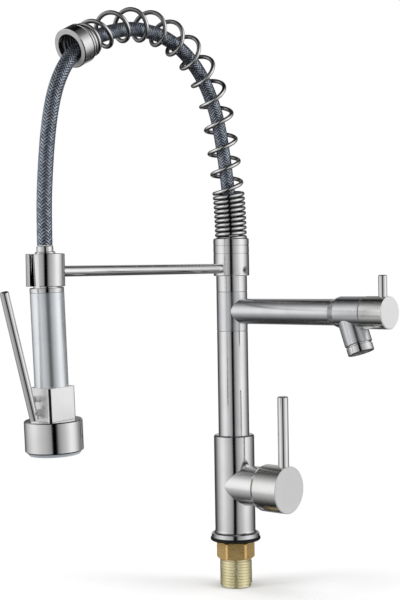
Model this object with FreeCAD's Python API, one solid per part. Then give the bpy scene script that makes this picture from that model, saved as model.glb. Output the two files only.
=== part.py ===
import FreeCAD, Part
import math
import os
from FreeCAD import Vector

# Kitchen faucet with a spring-guided pull-out spray and a pot-filler arm.
# Millimetres, +Z up. The origin is the centre of the deck hole, on the deck plane.
# The spray hangs in front (-Y), the mixer handle and the pot-filler arm point to +X.

# Clearances
thread_clear = 0.05
running_clear = 0.05
seat_gap = 0.15
loose_gap = 0.3

# How far a cutting shape runs past the face it opens
overcut = 1.0

# Deck fixing
shank_od = 33.25
shank_thread_depth = 1.2
shank_bore = 26.0
shank_drop = 48.0
shank_socket = 12.0
shank_point = 1.0
nut_across_flats = 35.0
nut_height = 18.0
nut_drop = 1.0
nut_chamfer = 2.0
nut_turn = 41.5
nut_edge = 3.4
gasket_od = 52.0
gasket_bore = 42.6
gasket_thickness = 3.7
base_ring_od = 50.0
base_ring_height = 7.3
base_ring_rim = 3.3
base_ring_groove = 0.6

# Mixer body
body_od = 42.0
body_height = 99.0
body_rim_chamfer = 1.4
boss_od = 41.4
boss_rise = 47.0
boss_reach = 38.5
boss_chamfer = 0.8
hose_cavity_d = 28.0
hose_cavity_height = 7.0
inlet_thread_d = 10.0
inlet_depth = 9.0
inlet_offset = 6.5
channel_d = 5.0
channel_back = 5.0
inlet_port_drop = 3.0
outlet_port_rise = 8.4
plenum_d = 27.0
plenum_height = 10.0
riser_socket = 14.0

# Mixer cartridge
cartridge_od = 35.0
cartridge_length = 26.0
cartridge_setback = 9.0
port_seal_od = 8.4
port_seal_bore = 5.6
port_seal_thickness = 1.4
port_seal_squeeze = 0.2
bonnet_bore = 27.2
bonnet_nose_r = 19.9
tilt_pivot_depth = 10.0
spindle_disc_d = 26.0
spindle_disc_thickness = 4.0
spindle_ear = 4.0
spindle_ear_width = 10.0
stem_width = 8.0
stem_tail = 5.5
stem_side_gap = 0.6
stem_pin_d = 4.0
stem_grip = 7.0

# Mixer handle
cap_od = 48.0
cap_length = 32.7
cap_wall = 1.8
cap_gap = 0.8
cap_face = 14.0
cap_hub_d = 20.0
cap_hub_length = 9.0
cap_edge = 0.8
cap_rear_bevel = 1.2
cap_rear_bevel_length = 3.2
handle_lever_d = 11.0
handle_lever_length = 86.3
handle_lever_start = 8.3
handle_lever_round = 1.0
grub_d = 5.0

# Headless screws and ring seals: shares of the screw's diameter and of the seal's section
grub_socket_share = 0.5
grub_point_share = 0.08
groove_share = 1.2

# Column
riser_od = 32.0
riser_wall = 1.7
riser_rise = 107.6
riser_seal_section = 1.7
riser_seal_below = 8.0
core_od = 25.0
core_bore = 12.0
core_plug_length = 16.0
core_spigot_d = 16.0
core_spigot_length = 7.0
core_port_d = 5.0
core_port_groove = 1.5
core_seal_section = 1.8
core_seal_spread = 12.0
tee_height = 41.4
upper_tube_height = 16.1
ring_edge = 0.5

# Pot-filler arm
arm_od = 26.0
arm_wall = 3.5
arm_reach = 131.0
arm_port_d = 9.0
arm_thread_d = 20.6
arm_thread_length = 12.0
valve_od = 31.0
valve_cone = 7.5
valve_length = 37.0
valve_wall = 4.5
valve_chamber_length = 28.0
valve_inlet_d = 12.0
valve_port_d = 8.0
outlet_lean = 19.5
outlet_start = 17.0
outlet_od = 27.0
outlet_length = 32.5
outlet_bore = 15.0
outlet_bore_start = 7.0
aerator_od = 26.0
aerator_height = 8.6
aerator_wall = 2.6
aerator_spigot = 5.0
aerator_groove = 1.2
aerator_groove_depth = 1.4
aerator_insert_height = 4.0
aerator_hole_d = 1.8
aerator_hole_rings = 3
aerator_washer_height = 1.6
knob_od = 31.6
knob_length = 26.9
knob_edge = 0.8
knob_pin_d = 8.4
knob_pin_back = 8.0
knob_pin_length = 30.0
knob_pin_start = 6.0
knob_pin_round = 0.8
knob_screw_d = 4.0
valve_spindle_d = 8.0
valve_spindle_grip = 22.0

# Dock and neck
sleeve_od = 37.0
sleeve_height = 22.9
neck_ring_height = 8.4
seat_height = 7.6
seat_floor = 1.6
seat_socket = 3.4
retaining_nut_wall = 2.5
set_screw_d = 7.4
set_screw_drop = 1.8
dock_rod_d = 10.0
dock_rod_rise = 7.5
dock_reach = 258.5
clip_od = 35.0
clip_wall = 3.4
clip_height = 29.5
clip_above_rod = 16.0
clip_slot = 17.0
hose_nut_across_flats = 18.0
hose_nut_length = 11.5

# Neck spring: close turns at the seat, wider lead turns, then open turns over the arch.
# The arch is a row of tangent bends, each with a radius and a turn in degrees, and a straight run.
spring_od = 33.4
spring_wire = 4.3
spring_socket_clear = 0.6
spring_close_turns = 10
spring_close_pitch = 4.9
spring_lead_turns = 2.25
spring_lead_pitch = 21.8
spring_open_turns = 10.25
spring_start_angle = 255.0
arch_foot_radius = 380.0
arch_foot_turn = 9.0
arch_rise_radius = 900.0
arch_rise_turn = 4.0
arch_shoulder_radius = 105.0
arch_shoulder_turn = 34.0
arch_crown_radius = 115.0
arch_crown_turn = 41.0
arch_fall_radius = 130.0
arch_fall_turn = 28.0
arch_run = 29.0
collar_od = 37.2
collar_bore = 27.6
collar_length = 16.0
collar_front = 4.0
collar_edge = 0.8
collar_lip = 2.4
collar_groove = 1.4
collar_groove_depth = 0.6

# Hose, with its route as distance in front of the column and height.
# It is made in two stretches that meet in the middle of the run numbered hose_split.
hose_d = 14.0
hose_route = ((0.0, 316.5), (0.0, 340.0), (5.0, 375.5), (13.5, 419.0), (22.0, 445.5), (36.5, 470.5),
              (51.0, 486.5), (71.0, 501.0), (95.0, 510.5), (119.5, 514.0), (145.0, 513.5), (170.0, 507.5),
              (196.0, 498.0), (216.5, 485.0), (233.0, 467.0), (244.5, 443.5), (252.0, 412.0),
              (256.5, 374.0), (259.0, 339.5), (258.7, 305.8))
hose_split = 12
bend_share = 0.45

# Spray head, measured down its own axis from the top of the clip
head_tilt = 2.3
head_spin = 3.0
ferrule_od = 15.2
ferrule_height = 6.8
ferrule_shoulder_od = 18.4
ferrule_shoulder_height = 1.8
neck_od = 24.0
neck_bore = 10.0
neck_plug = 8.0
grip_ring_od = 31.0
grip_ring_height = 4.5
grip_top_od = 31.0
grip_bottom_od = 30.7
grip_length = 84.7
grip_wall = 2.0
inner_tube_od = 13.0
inner_tube_bore = 10.0
inner_tube_socket = 4.0
block_side = 30.4
block_height = 29.8
block_edge = 3.0
nozzle_od = 53.0
nozzle_height = 28.5
nozzle_wall = 2.6
nozzle_roof = 5.0
nozzle_edge = 1.0
plate_od = 47.5
plate_proud = 3.0
plate_seat = 4.0
jet_d = 2.0
jet_bore = 0.9
jet_proud = 0.3
jet_rings = 3
jet_ring_step = 6.4
spray_lever_d = 8.2
spray_lever_length = 119.0
spray_lever_lean = 13.0
spray_lever_round = 0.8
lever_pin_d = 3.0
lever_pin_above_collar = 8.0
lever_pin_out = 22.6
lever_below_pin = 6.2
lug_thickness = 3.0
lug_nose_r = 3.2
lever_slot_length = 9.6
plunger_d = 6.0
plunger_above_pin = 12.5
plunger_collar_d = 8.4
plunger_collar_length = 2.0
plunger_collar_in = 7.5
plunger_guide_d = 3.2
plunger_guide_length = 8.5
plunger_chamber_d = 9.0
plunger_chamber_mouth = 8.0
plunger_chamber_length = 14.0
plunger_spring_od = 6.6
plunger_spring_wire = 0.8
plunger_spring_pitch = 1.7
plunger_spring_turns = 5

ORIGIN = Vector(0, 0, 0)
X_AXIS = Vector(1, 0, 0)
Y_AXIS = Vector(0, 1, 0)
Z_AXIS = Vector(0, 0, 1)

# Heights of the stacked pieces
z_ring = gasket_thickness
z_body = z_ring + base_ring_height
z_body_top = z_body + body_height
z_boss = z_body + boss_rise
z_riser_top = z_body_top + riser_rise
z_tee_top = z_riser_top + tee_height
z_arm = z_riser_top + tee_height / 2
z_upper_top = z_tee_top + upper_tube_height
z_sleeve_top = z_upper_top + sleeve_height
z_neck_ring_top = z_sleeve_top + neck_ring_height
z_seat_top = z_neck_ring_top + seat_height
z_rod = z_upper_top + dock_rod_rise
z_clip_top = z_rod + clip_above_rod
z_core_top = z_seat_top - seat_floor - seat_socket

# Places along the handle and the pot-filler arm
x_seat = -cartridge_setback
x_cartridge_top = x_seat + port_seal_squeeze + cartridge_length
x_pivot = boss_reach - tilt_pivot_depth
x_cap = boss_reach + cap_gap
x_cap_face = x_cap + cap_length - cap_face
x_cap_hub = x_cap_face - cap_hub_length
x_valve_end = arm_reach + valve_length
x_knob = x_valve_end + loose_gap
x_knob_end = x_knob + knob_length
x_knob_pin = x_knob_end - knob_pin_back


def turned(profile):
    """Solid of revolution about Z. A profile item is a point (r, z), or an arc's middle and end."""
    def flat(item):
        return Vector(item[0], 0, item[1])

    edges = []
    here = flat(profile[0])
    for item in profile[1:] + [profile[0]]:
        if isinstance(item[0], tuple):
            end = flat(item[1])
            edges.append(Part.Arc(here, flat(item[0]), end).toShape())
        else:
            end = flat(item)
            edges.append(Part.LineSegment(here, end).toShape())
        here = end
    return Part.Face(Part.Wire(edges)).revolve(ORIGIN, Z_AXIS, 360)


def ring(outer_r, inner_r, z0, z1, edge=0.0):
    """Tube between two heights, with its outer edges bevelled."""
    profile = [(inner_r, z0), (outer_r - edge, z0), (outer_r, z0 + edge)]
    if edge == 0.0:
        profile = [(inner_r, z0), (outer_r, z0), (outer_r, z1), (inner_r, z1)]
        return turned(profile)
    profile += [(outer_r, z1 - edge), (outer_r - edge, z1), (inner_r, z1)]
    return turned(profile)


def rod(radius, z0, z1, edge):
    """Round bar between two heights, bevelled at its upper end."""
    return turned([(0, z0), (radius, z0), (radius, z1 - edge), (radius - edge, z1), (0, z1)])


def along_x(shape, z):
    """Lays a shape made about Z along +X at a height, its Z becoming X."""
    laid = shape.copy()
    laid.rotate(ORIGIN, Y_AXIS, 90)
    laid.translate(Vector(0, 0, z))
    return laid


def hexagon(across_flats, z0, z1, turn=0.0):
    """Hexagonal prism about Z."""
    corner = across_flats / math.sqrt(3)
    points = []
    for k in range(7):
        angle = math.radians(60 * k + turn)
        points.append(Vector(corner * math.cos(angle), corner * math.sin(angle), z0))
    return Part.Face(Part.makePolygon(points)).extrude(Vector(0, 0, z1 - z0))


def rounded_upright(bar, edge):
    """Upright bar with its upright edges rounded."""
    upright = [e for e in bar.Edges if abs(e.tangentAt(e.FirstParameter).z) > 0.5]
    return bar.makeFillet(edge, upright)


def box(x0, x1, y0, y1, z0, z1):
    return Part.makeBox(x1 - x0, y1 - y0, z1 - z0, Vector(x0, y0, z0))


def grub_screw(diameter, length):
    """Headless screw along Z from 0 up, with a hexagon socket in its upper end."""
    socket = diameter * grub_socket_share
    screw = rod(diameter / 2, 0, length, diameter * grub_point_share)
    return screw.cut(hexagon(socket, length - socket, length + overcut))


def seal(centre_r, section, z):
    """Round-section sealing ring about Z."""
    return Part.makeTorus(centre_r, section / 2, Vector(0, 0, z), Z_AXIS)


def hole_pattern(count_of_rings, step):
    """Places of holes on rings of 6, 12, 18 and so on."""
    places = []
    for ring_number in range(1, count_of_rings + 1):
        for k in range(6 * ring_number):
            angle = 2 * math.pi * k / (6 * ring_number)
            places.append((ring_number * step * math.cos(angle), ring_number * step * math.sin(angle)))
    return places


def arc_through(start, apex, end):
    """Arc from start to end, tangent to both lines that meet at the apex, as far from it."""
    middle = (start + end) * 0.5
    half_cosine = (middle - start).Length / (apex - start).Length
    return Part.Arc(start, apex + (middle - apex) * (1 / (1 + half_cosine)), end).toShape()


def biarc(start, start_way, end, end_way):
    """Two arcs that share a tangent and join two points with given directions."""
    span = end - start
    both = start_way + end_way
    bend = 2 * (1 - start_way.dot(end_way))
    reach = span.dot(both)
    handle = (math.sqrt(reach * reach + bend * span.dot(span)) - reach) / bend
    first = start + start_way * handle
    second = end - end_way * handle
    joint = (first + second) * 0.5
    return [arc_through(start, first, joint), arc_through(joint, second, end)]


def round_tube(edges, start, way, diameter):
    """Solid round bar swept along joined edges."""
    section = Part.Wire(Part.Circle(start, way, diameter / 2).toShape())
    return Part.Wire(edges).makePipeShell([section], True, False)


def coil(place, mean_r, wire, turn_stations, label):
    """One unbroken wire wound about a route, in biarcs of a quarter turn, with straight ends.

    place(s) gives the route's point and its two cross directions. turn_stations lists the
    route length and the angle at every quarter turn.
    """
    def on_wire(s, angle):
        point, across, outward = place(s)
        return point + (across * math.cos(angle) + outward * math.sin(angle)) * mean_r

    def way_at(s, angle, rate):
        small = 0.001
        ahead = on_wire(s + small * rate, angle + small)
        behind = on_wire(s - small * rate, angle - small)
        return (ahead - behind).normalize()

    points = [on_wire(s, angle) for s, angle, rate in turn_stations]
    ways = [way_at(s, angle, rate) for s, angle, rate in turn_stations]
    start = points[0] - ways[0] * wire
    end = points[-1] + ways[-1] * wire
    edges = [Part.LineSegment(start, points[0]).toShape()]
    for k in range(len(points) - 1):
        edges += biarc(points[k], ways[k], points[k + 1], ways[k + 1])
    edges.append(Part.LineSegment(points[-1], end).toShape())
    print(label, "tightest bend", round(min(e.Curve.Radius for e in edges[1:-1]), 2),
          "least gap to itself", round(least_gap(edges, wire), 2))
    return round_tube(edges, start, ways[0], wire)


def least_gap(edges, wire):
    """Least clear distance between neighbouring turns, measured on points of the wire's axis."""
    edges_per_turn = 8
    points_per_edge = 4
    points = []
    for edge in edges:
        points += edge.discretize(points_per_edge + 1)[:-1]
    turn_points = edges_per_turn * points_per_edge
    least = None
    for k in range(len(points)):
        for other in range(k + turn_points // 2, min(k + 2 * turn_points, len(points))):
            gap = (points[k] - points[other]).Length - wire
            if least is None or gap < least:
                least = gap
    return least


def hose_bends():
    """Corners of the hose's route with the two ends of the arc that rounds each."""
    points = [Vector(0, -forward, height) for forward, height in hose_route]
    bends = []
    for k in range(1, len(points) - 1):
        back = points[k - 1] - points[k]
        ahead = points[k + 1] - points[k]
        setback = bend_share * min(back.Length, ahead.Length)
        turn = math.pi - back.getAngle(ahead)
        arc_start = points[k] + back.normalize() * setback
        arc_end = points[k] + ahead.normalize() * setback
        bends.append((arc_start, points[k], arc_end, setback / math.tan(turn / 2)))
    return points, bends


def hose_stretch(first, last, label):
    """Hose from one route point to another; a number and a half is the middle of a run."""
    points, bends = hose_bends()

    def route_point(number):
        low = math.floor(number)
        high = math.ceil(number)
        return (points[low] + points[high]) * 0.5

    here = route_point(first)
    start = here
    edges = []
    radii = []
    for k in range(math.floor(first) + 1, math.ceil(last)):
        arc_start, corner, arc_end, radius = bends[k - 1]
        edges.append(Part.LineSegment(here, arc_start).toShape())
        edges.append(arc_through(arc_start, corner, arc_end))
        radii.append(round(radius))
        here = arc_end
    edges.append(Part.LineSegment(here, route_point(last)).toShape())
    hose = round_tube(edges, start, edges[0].tangentAt(edges[0].FirstParameter), hose_d)
    length = sum(e.Length for e in edges)
    print(label, "bend radii", radii, "length", round(length, 1),
          "volume ratio", round(hose.Volume / (length * math.pi * hose_d ** 2 / 4), 4))
    return hose


def save(name, shape):
    solid = shape.removeSplitter() if shape.ShapeType != "Compound" else shape
    solid.exportStep(os.path.join("parts", name + ".step"))


def group(solids):
    return Part.makeCompound(solids)


# Deck fixing

def make_shank():
    core_r = shank_od / 2 - shank_thread_depth
    free_top = -nut_drop - nut_height - loose_gap
    return turned([(shank_bore / 2, -shank_drop), (shank_od / 2 - shank_point, -shank_drop),
                   (shank_od / 2, shank_point - shank_drop), (shank_od / 2, free_top), (core_r, free_top),
                   (core_r, z_body + shank_socket), (shank_bore / 2, z_body + shank_socket)])


def make_mounting_nut():
    top = -nut_drop
    low = top - nut_height
    flat_r = nut_across_flats / 2
    corner_r = nut_across_flats / math.sqrt(3)
    lift = (corner_r - flat_r) / nut_chamfer * overcut
    bevel = turned([(0, low), (flat_r, low), (corner_r + lift, low + nut_chamfer + overcut),
                    (corner_r + lift, top - nut_chamfer - overcut), (flat_r, top), (0, top)])
    nut = rounded_upright(hexagon(nut_across_flats, low, top, nut_turn), nut_edge).common(bevel)
    bore_r = shank_od / 2 - shank_thread_depth + thread_clear
    return nut.cut(Part.makeCylinder(bore_r, nut_height + 2 * overcut, Vector(0, 0, low - overcut)))


def make_base_gasket():
    return ring(gasket_od / 2, gasket_bore / 2, 0, gasket_thickness, gasket_thickness / 4)


def make_base_ring():
    rim_r = base_ring_od / 2
    bore_r = shank_od / 2 + thread_clear
    rim_top = z_ring + base_ring_rim
    groove_top = rim_top + base_ring_groove
    cove_foot = rim_r - base_ring_groove
    cove = cove_foot - body_od / 2
    hollow = cove * (1 - math.sqrt(0.5))
    return turned([(bore_r, z_ring), (rim_r, z_ring), (rim_r, rim_top),
                   (rim_r - 2 * base_ring_groove, rim_top), (rim_r - 2 * base_ring_groove, groove_top),
                   (cove_foot, groove_top),
                   ((body_od / 2 + hollow, groove_top + hollow), (body_od / 2, z_body)),
                   (bore_r, z_body)])


# Mixer body with its water ways

def make_mixer_body():
    body_r = body_od / 2
    edge = body_rim_chamfer
    body = turned([(0, z_body), (body_r, z_body), (body_r, z_body_top - edge),
                   (body_r - edge, z_body_top), (0, z_body_top)])
    boss = turned([(0, 0), (boss_od / 2, 0), (boss_od / 2, boss_reach - boss_chamfer),
                   (boss_od / 2 - boss_chamfer, boss_reach), (0, boss_reach)])
    body = body.fuse(along_x(boss, z_boss))
    socket_r = shank_od / 2 - shank_thread_depth + thread_clear
    socket_top = z_body + shank_socket + thread_clear
    roof = socket_top + hose_cavity_height
    chamber = Part.makeCylinder(cartridge_od / 2 + thread_clear, boss_reach + overcut - x_seat,
                                Vector(0, 0, x_seat))
    riser_foot = z_body_top - riser_socket
    riser_r = riser_od / 2 + thread_clear
    groove_z = z_body_top - riser_seal_below
    groove_half = riser_seal_section * groove_share / 2
    groove = ring(riser_r + riser_seal_section, riser_r - overcut, groove_z - groove_half,
                  groove_z + groove_half)
    cuts = [Part.makeCylinder(socket_r, socket_top - z_body + overcut, Vector(0, 0, z_body - overcut)),
            Part.makeCylinder(hose_cavity_d / 2, roof - socket_top + overcut, Vector(0, 0, socket_top - overcut)),
            along_x(chamber, z_boss),
            Part.makeCylinder(riser_r, riser_socket + overcut, Vector(0, 0, riser_foot)),
            Part.makeCylinder(plenum_d / 2, plenum_height + overcut, Vector(0, 0, riser_foot - plenum_height)),
            groove]
    channel_r = channel_d / 2
    x_channel = x_seat - channel_back
    inlet_top = roof + inlet_depth
    for side in (-1, 1):
        y = side * inlet_offset
        cross_z = inlet_top - channel_r
        port_z = z_boss - inlet_port_drop
        cuts.append(Part.makeCylinder(inlet_thread_d / 2, inlet_depth + overcut, Vector(0, y, roof - overcut)))
        cuts.append(Part.makeCylinder(channel_r, -x_channel, Vector(x_channel, y, cross_z), X_AXIS))
        cuts.append(Part.makeCylinder(channel_r, port_z - cross_z, Vector(x_channel, y, cross_z)))
        cuts.append(Part.makeCylinder(channel_r, channel_back + overcut, Vector(x_channel, y, port_z), X_AXIS))
    outlet_z = z_boss + outlet_port_rise
    cuts.append(Part.makeCylinder(channel_r, channel_back + overcut, Vector(x_channel, 0, outlet_z), X_AXIS))
    rise = riser_foot - plenum_height + overcut - outlet_z
    cuts.append(Part.makeCylinder(channel_r, rise, Vector(x_channel, 0, outlet_z)))
    for cut in cuts:
        body = body.cut(cut)
    return body


# Mixer cartridge

def port_places():
    return ((-inlet_offset, -inlet_port_drop), (inlet_offset, -inlet_port_drop), (0, outlet_port_rise))


def make_cartridge_body():
    base = x_seat + port_seal_squeeze
    recess = port_seal_thickness - port_seal_squeeze
    solid = Part.makeCylinder(cartridge_od / 2, cartridge_length, Vector(base, 0, z_boss), X_AXIS)
    for y, rise in port_places():
        place = Vector(base - overcut, y, z_boss + rise)
        solid = solid.cut(Part.makeCylinder(port_seal_od / 2 + thread_clear, recess + overcut, place, X_AXIS))
        solid = solid.cut(Part.makeCylinder(port_seal_bore / 2, cartridge_length / 2, place, X_AXIS))
    return solid


def make_cartridge_seals():
    seals = []
    for y, rise in port_places():
        place = Vector(x_seat, y, z_boss + rise)
        outer = Part.makeCylinder(port_seal_od / 2, port_seal_thickness, place, X_AXIS)
        inner = Part.makeCylinder(port_seal_bore / 2, port_seal_thickness, place, X_AXIS)
        seals.append(outer.cut(inner))
    return group(seals)


def make_bonnet_nut():
    start = x_cartridge_top + seat_gap
    bore_r = bonnet_bore / 2
    outer_r = cartridge_od / 2
    shoulder = x_pivot + math.sqrt(bonnet_nose_r ** 2 - outer_r ** 2)
    rim = x_pivot + math.sqrt(bonnet_nose_r ** 2 - bore_r ** 2)
    middle = (math.asin(outer_r / bonnet_nose_r) + math.asin(bore_r / bonnet_nose_r)) / 2
    top = (bonnet_nose_r * math.sin(middle), x_pivot + bonnet_nose_r * math.cos(middle))
    return along_x(turned([(bore_r, start), (outer_r, start), (outer_r, shoulder),
                           (top, (bore_r, rim))]), z_boss)


def make_cartridge_spindle():
    start = x_cartridge_top + seat_gap
    end = start + spindle_disc_thickness
    disc = Part.makeCylinder(spindle_disc_d / 2, spindle_disc_thickness, Vector(0, 0, start))
    solid = along_x(disc, z_boss)
    inner = stem_width / 2 + stem_side_gap
    half = spindle_ear_width / 2
    for side in (-1, 1):
        y0, y1 = sorted((side * inner, side * (inner + spindle_ear)))
        solid = solid.fuse(box(end - overcut, x_pivot + stem_pin_d, y0, y1, z_boss - half, z_boss + half))
    return solid.cut(stem_pin_bar(thread_clear / 2, overcut))


def stem_pin_bar(extra_r, extra_length):
    half = stem_width / 2 + stem_side_gap + spindle_ear + extra_length
    return Part.makeCylinder(stem_pin_d / 2 + extra_r, 2 * half, Vector(x_pivot, -half, z_boss), Y_AXIS)


def make_stem_pin():
    return stem_pin_bar(0, 0)


def make_cartridge_stem():
    half = stem_width / 2
    end = x_cap_hub + stem_grip
    solid = box(x_pivot - stem_tail, end, -half, half, z_boss - half, z_boss + half)
    return solid.cut(stem_pin_bar(running_clear, 0))


# Mixer handle

def make_handle_cap():
    outer_r = cap_od / 2
    inner_r = outer_r - cap_wall
    end = x_cap + cap_length
    shell = turned([(0, end), (outer_r - cap_edge, end), (outer_r, end - cap_edge),
                    (outer_r, x_cap + cap_rear_bevel_length), (outer_r - cap_rear_bevel, x_cap),
                    (inner_r, x_cap), (inner_r, x_cap_face), (cap_hub_d / 2, x_cap_face),
                    (cap_hub_d / 2, x_cap_hub), (0, x_cap_hub)])
    cap = along_x(shell, z_boss)
    half = stem_width / 2 + thread_clear
    socket_end = x_cap_hub + stem_grip + seat_gap
    cap = cap.cut(box(x_cap_hub - overcut, socket_end, -half, half, z_boss - half, z_boss + half))
    lever_foot = z_boss + handle_lever_start - seat_gap
    bore_r = handle_lever_d / 2 + thread_clear
    cap = cap.cut(Part.makeCylinder(bore_r, outer_r, Vector(lever_x(), 0, lever_foot)))
    screw_r = grub_d / 2 + thread_clear
    return cap.cut(Part.makeCylinder(screw_r, outer_r, Vector(grub_x(), 0, z_boss), -Z_AXIS))


def lever_x():
    return x_cap_face + cap_face / 2


def grub_x():
    return x_cap_hub + cap_hub_length / 2


def make_handle_lever():
    start = z_boss + handle_lever_start
    bar = rod(handle_lever_d / 2, start, start + handle_lever_length, handle_lever_round)
    bar.translate(Vector(lever_x(), 0, 0))
    return bar


def make_handle_grub_screw():
    length = cap_hub_d / 2 - stem_width / 2 - 2 * thread_clear
    screw = grub_screw(grub_d, length)
    screw.rotate(ORIGIN, X_AXIS, 180)
    screw.translate(Vector(grub_x(), 0, z_boss - stem_width / 2 - thread_clear))
    return screw


# Column

def make_riser_tube():
    return ring(riser_od / 2, riser_od / 2 - riser_wall, z_body_top - riser_socket, z_riser_top)


def make_riser_seal():
    return seal(riser_od / 2 + thread_clear + riser_seal_section / 2, riser_seal_section,
                z_body_top - riser_seal_below)


def make_core_pipe():
    core_r = core_od / 2
    bore_r = core_bore / 2
    plug_r = riser_od / 2 - riser_wall - thread_clear
    top = z_core_top
    core = turned([(bore_r, z_riser_top - core_plug_length), (plug_r, z_riser_top - core_plug_length),
                   (plug_r, z_riser_top), (core_r, z_riser_top), (core_r, top),
                   (core_spigot_d / 2, top), (core_spigot_d / 2, top + core_spigot_length),
                   (bore_r, top + core_spigot_length)])
    core = core.cut(ring(core_r + overcut, core_r - core_port_groove, z_arm - core_port_d / 2 - overcut,
                         z_arm + core_port_d / 2 + overcut))
    for k in range(2):
        way = Vector(math.cos(k * math.pi / 2), math.sin(k * math.pi / 2), 0)
        start = Vector(0, 0, z_arm) - way * core_od
        core = core.cut(Part.makeCylinder(core_port_d / 2, 2 * core_od, start, way))
    for z in seal_heights():
        half = core_seal_section * groove_share / 2
        core = core.cut(ring(core_r + overcut, core_r - core_seal_section - thread_clear, z - half, z + half))
    return core


def seal_heights():
    return (z_arm - core_seal_spread, z_arm + core_seal_spread)


def make_swivel_seals():
    return group([seal((core_od - core_seal_section) / 2, core_seal_section, z) for z in seal_heights()])


def make_upper_tube():
    return ring(riser_od / 2, core_od / 2 + thread_clear, z_tee_top, z_upper_top - seat_gap)


def make_retaining_nut():
    return ring(retaining_nut_r(), core_od / 2 + thread_clear, z_neck_ring_top + seat_gap,
                z_core_top - seat_gap, ring_edge)


def retaining_nut_r():
    return core_od / 2 + retaining_nut_wall


def make_hose_nut():
    foot = z_core_top + seat_gap
    nut = hexagon(hose_nut_across_flats, foot, foot + hose_nut_length)
    nut = nut.cut(Part.makeCylinder(core_spigot_d / 2 + thread_clear, core_spigot_length,
                                    Vector(0, 0, z_core_top)))
    return nut.cut(Part.makeCylinder(hose_d / 2 + loose_gap, hose_nut_length,
                                     Vector(0, 0, z_core_top + core_spigot_length - overcut)))


# Pot-filler arm

def make_swivel_tee():
    low = z_riser_top + seat_gap
    high = z_tee_top - seat_gap
    arm_r = arm_od / 2
    bore_r = core_od / 2 + running_clear
    collar = ring(riser_od / 2, 0, low, high, ring_edge)
    arm = along_x(Part.makeCylinder(arm_r, arm_reach), z_arm)
    tee = collar.fuse(arm)
    inside_start = riser_od / 2
    tee = tee.cut(along_x(Part.makeCylinder(arm_r - arm_wall, arm_reach, Vector(0, 0, inside_start)), z_arm))
    tee = tee.cut(along_x(Part.makeCylinder(arm_port_d / 2, inside_start + overcut), z_arm))
    thread_start = arm_reach - arm_thread_length
    tee = tee.cut(along_x(Part.makeCylinder(arm_thread_d / 2, arm_reach, Vector(0, 0, thread_start)), z_arm))
    return tee.cut(Part.makeCylinder(bore_r, high - low + 2 * overcut, Vector(0, 0, low - overcut)))


def outlet_turn(shape):
    """Moves a shape made up the Z axis onto the outlet: its Z runs down the leaning outlet."""
    moved = shape.copy()
    moved.rotate(ORIGIN, Y_AXIS, 180 - outlet_lean)
    moved.translate(Vector(arm_reach + outlet_start, 0, z_arm))
    return moved


def make_valve_body():
    arm_r = arm_od / 2
    valve_r = valve_od / 2
    edge = ring_edge
    spigot_r = arm_thread_d / 2 - thread_clear
    start = arm_reach + seat_gap
    spigot_start = arm_reach - arm_thread_length + seat_gap
    chamber_start = x_valve_end - valve_chamber_length
    chamber_r = valve_r - valve_wall
    body = along_x(turned([(0, spigot_start), (spigot_r, spigot_start), (spigot_r, start), (arm_r, start),
                           (valve_r, start + valve_cone), (valve_r, x_valve_end - edge),
                           (valve_r - edge, x_valve_end), (0, x_valve_end)]), z_arm)
    body = body.fuse(outlet_turn(rod(outlet_od / 2, 0, outlet_length, ring_edge)))
    body = body.cut(along_x(Part.makeCylinder(valve_inlet_d / 2, chamber_start - spigot_start + 2 * overcut,
                                              Vector(0, 0, spigot_start - overcut)), z_arm))
    body = body.cut(along_x(Part.makeCylinder(chamber_r, valve_chamber_length + overcut,
                                              Vector(0, 0, chamber_start)), z_arm))
    body = body.cut(outlet_turn(Part.makeCylinder(outlet_bore / 2, outlet_length,
                                                  Vector(0, 0, outlet_bore_start))))
    spigot_bore = aerator_bore_r() + thread_clear
    return body.cut(outlet_turn(Part.makeCylinder(spigot_bore, aerator_spigot + overcut,
                                                  Vector(0, 0, outlet_length - aerator_spigot))))


def aerator_bore_r():
    """Outer radius of the aerator's threaded spigot."""
    return aerator_od / 2 - aerator_wall


def make_aerator_housing():
    start = outlet_length + seat_gap
    end = start + aerator_height
    spigot_r = aerator_bore_r()
    inner_r = spigot_r - aerator_wall / 2
    spigot_start = outlet_length - aerator_spigot + aerator_washer_height + seat_gap
    outer_r = aerator_od / 2
    groove_r = outer_r - aerator_groove_depth
    shoulder = start + aerator_groove
    return outlet_turn(turned([(inner_r, spigot_start), (spigot_r, spigot_start), (spigot_r, start),
                               (groove_r, start), (groove_r, shoulder), (outer_r - ring_edge, shoulder),
                               (outer_r, shoulder + ring_edge), (outer_r, end - ring_edge),
                               (outer_r - ring_edge, end), (inner_r, end)]))


def make_aerator_washer():
    start = outlet_length - aerator_spigot
    return outlet_turn(ring(aerator_bore_r() - thread_clear, outlet_bore / 2, start,
                            start + aerator_washer_height))


def make_aerator_insert():
    insert_r = aerator_bore_r() - aerator_wall / 2 - thread_clear
    end = outlet_length + aerator_height - ring_edge
    insert = Part.makeCylinder(insert_r, aerator_insert_height, Vector(0, 0, end - aerator_insert_height))
    step = (insert_r - aerator_hole_d) / aerator_hole_rings
    holes = []
    for x, y in [(0, 0)] + hole_pattern(aerator_hole_rings, step):
        holes.append(Part.makeCylinder(aerator_hole_d / 2, aerator_insert_height + 2 * overcut,
                                       Vector(x, y, end - aerator_insert_height - overcut)))
    return outlet_turn(insert.cut(holes))


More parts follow.
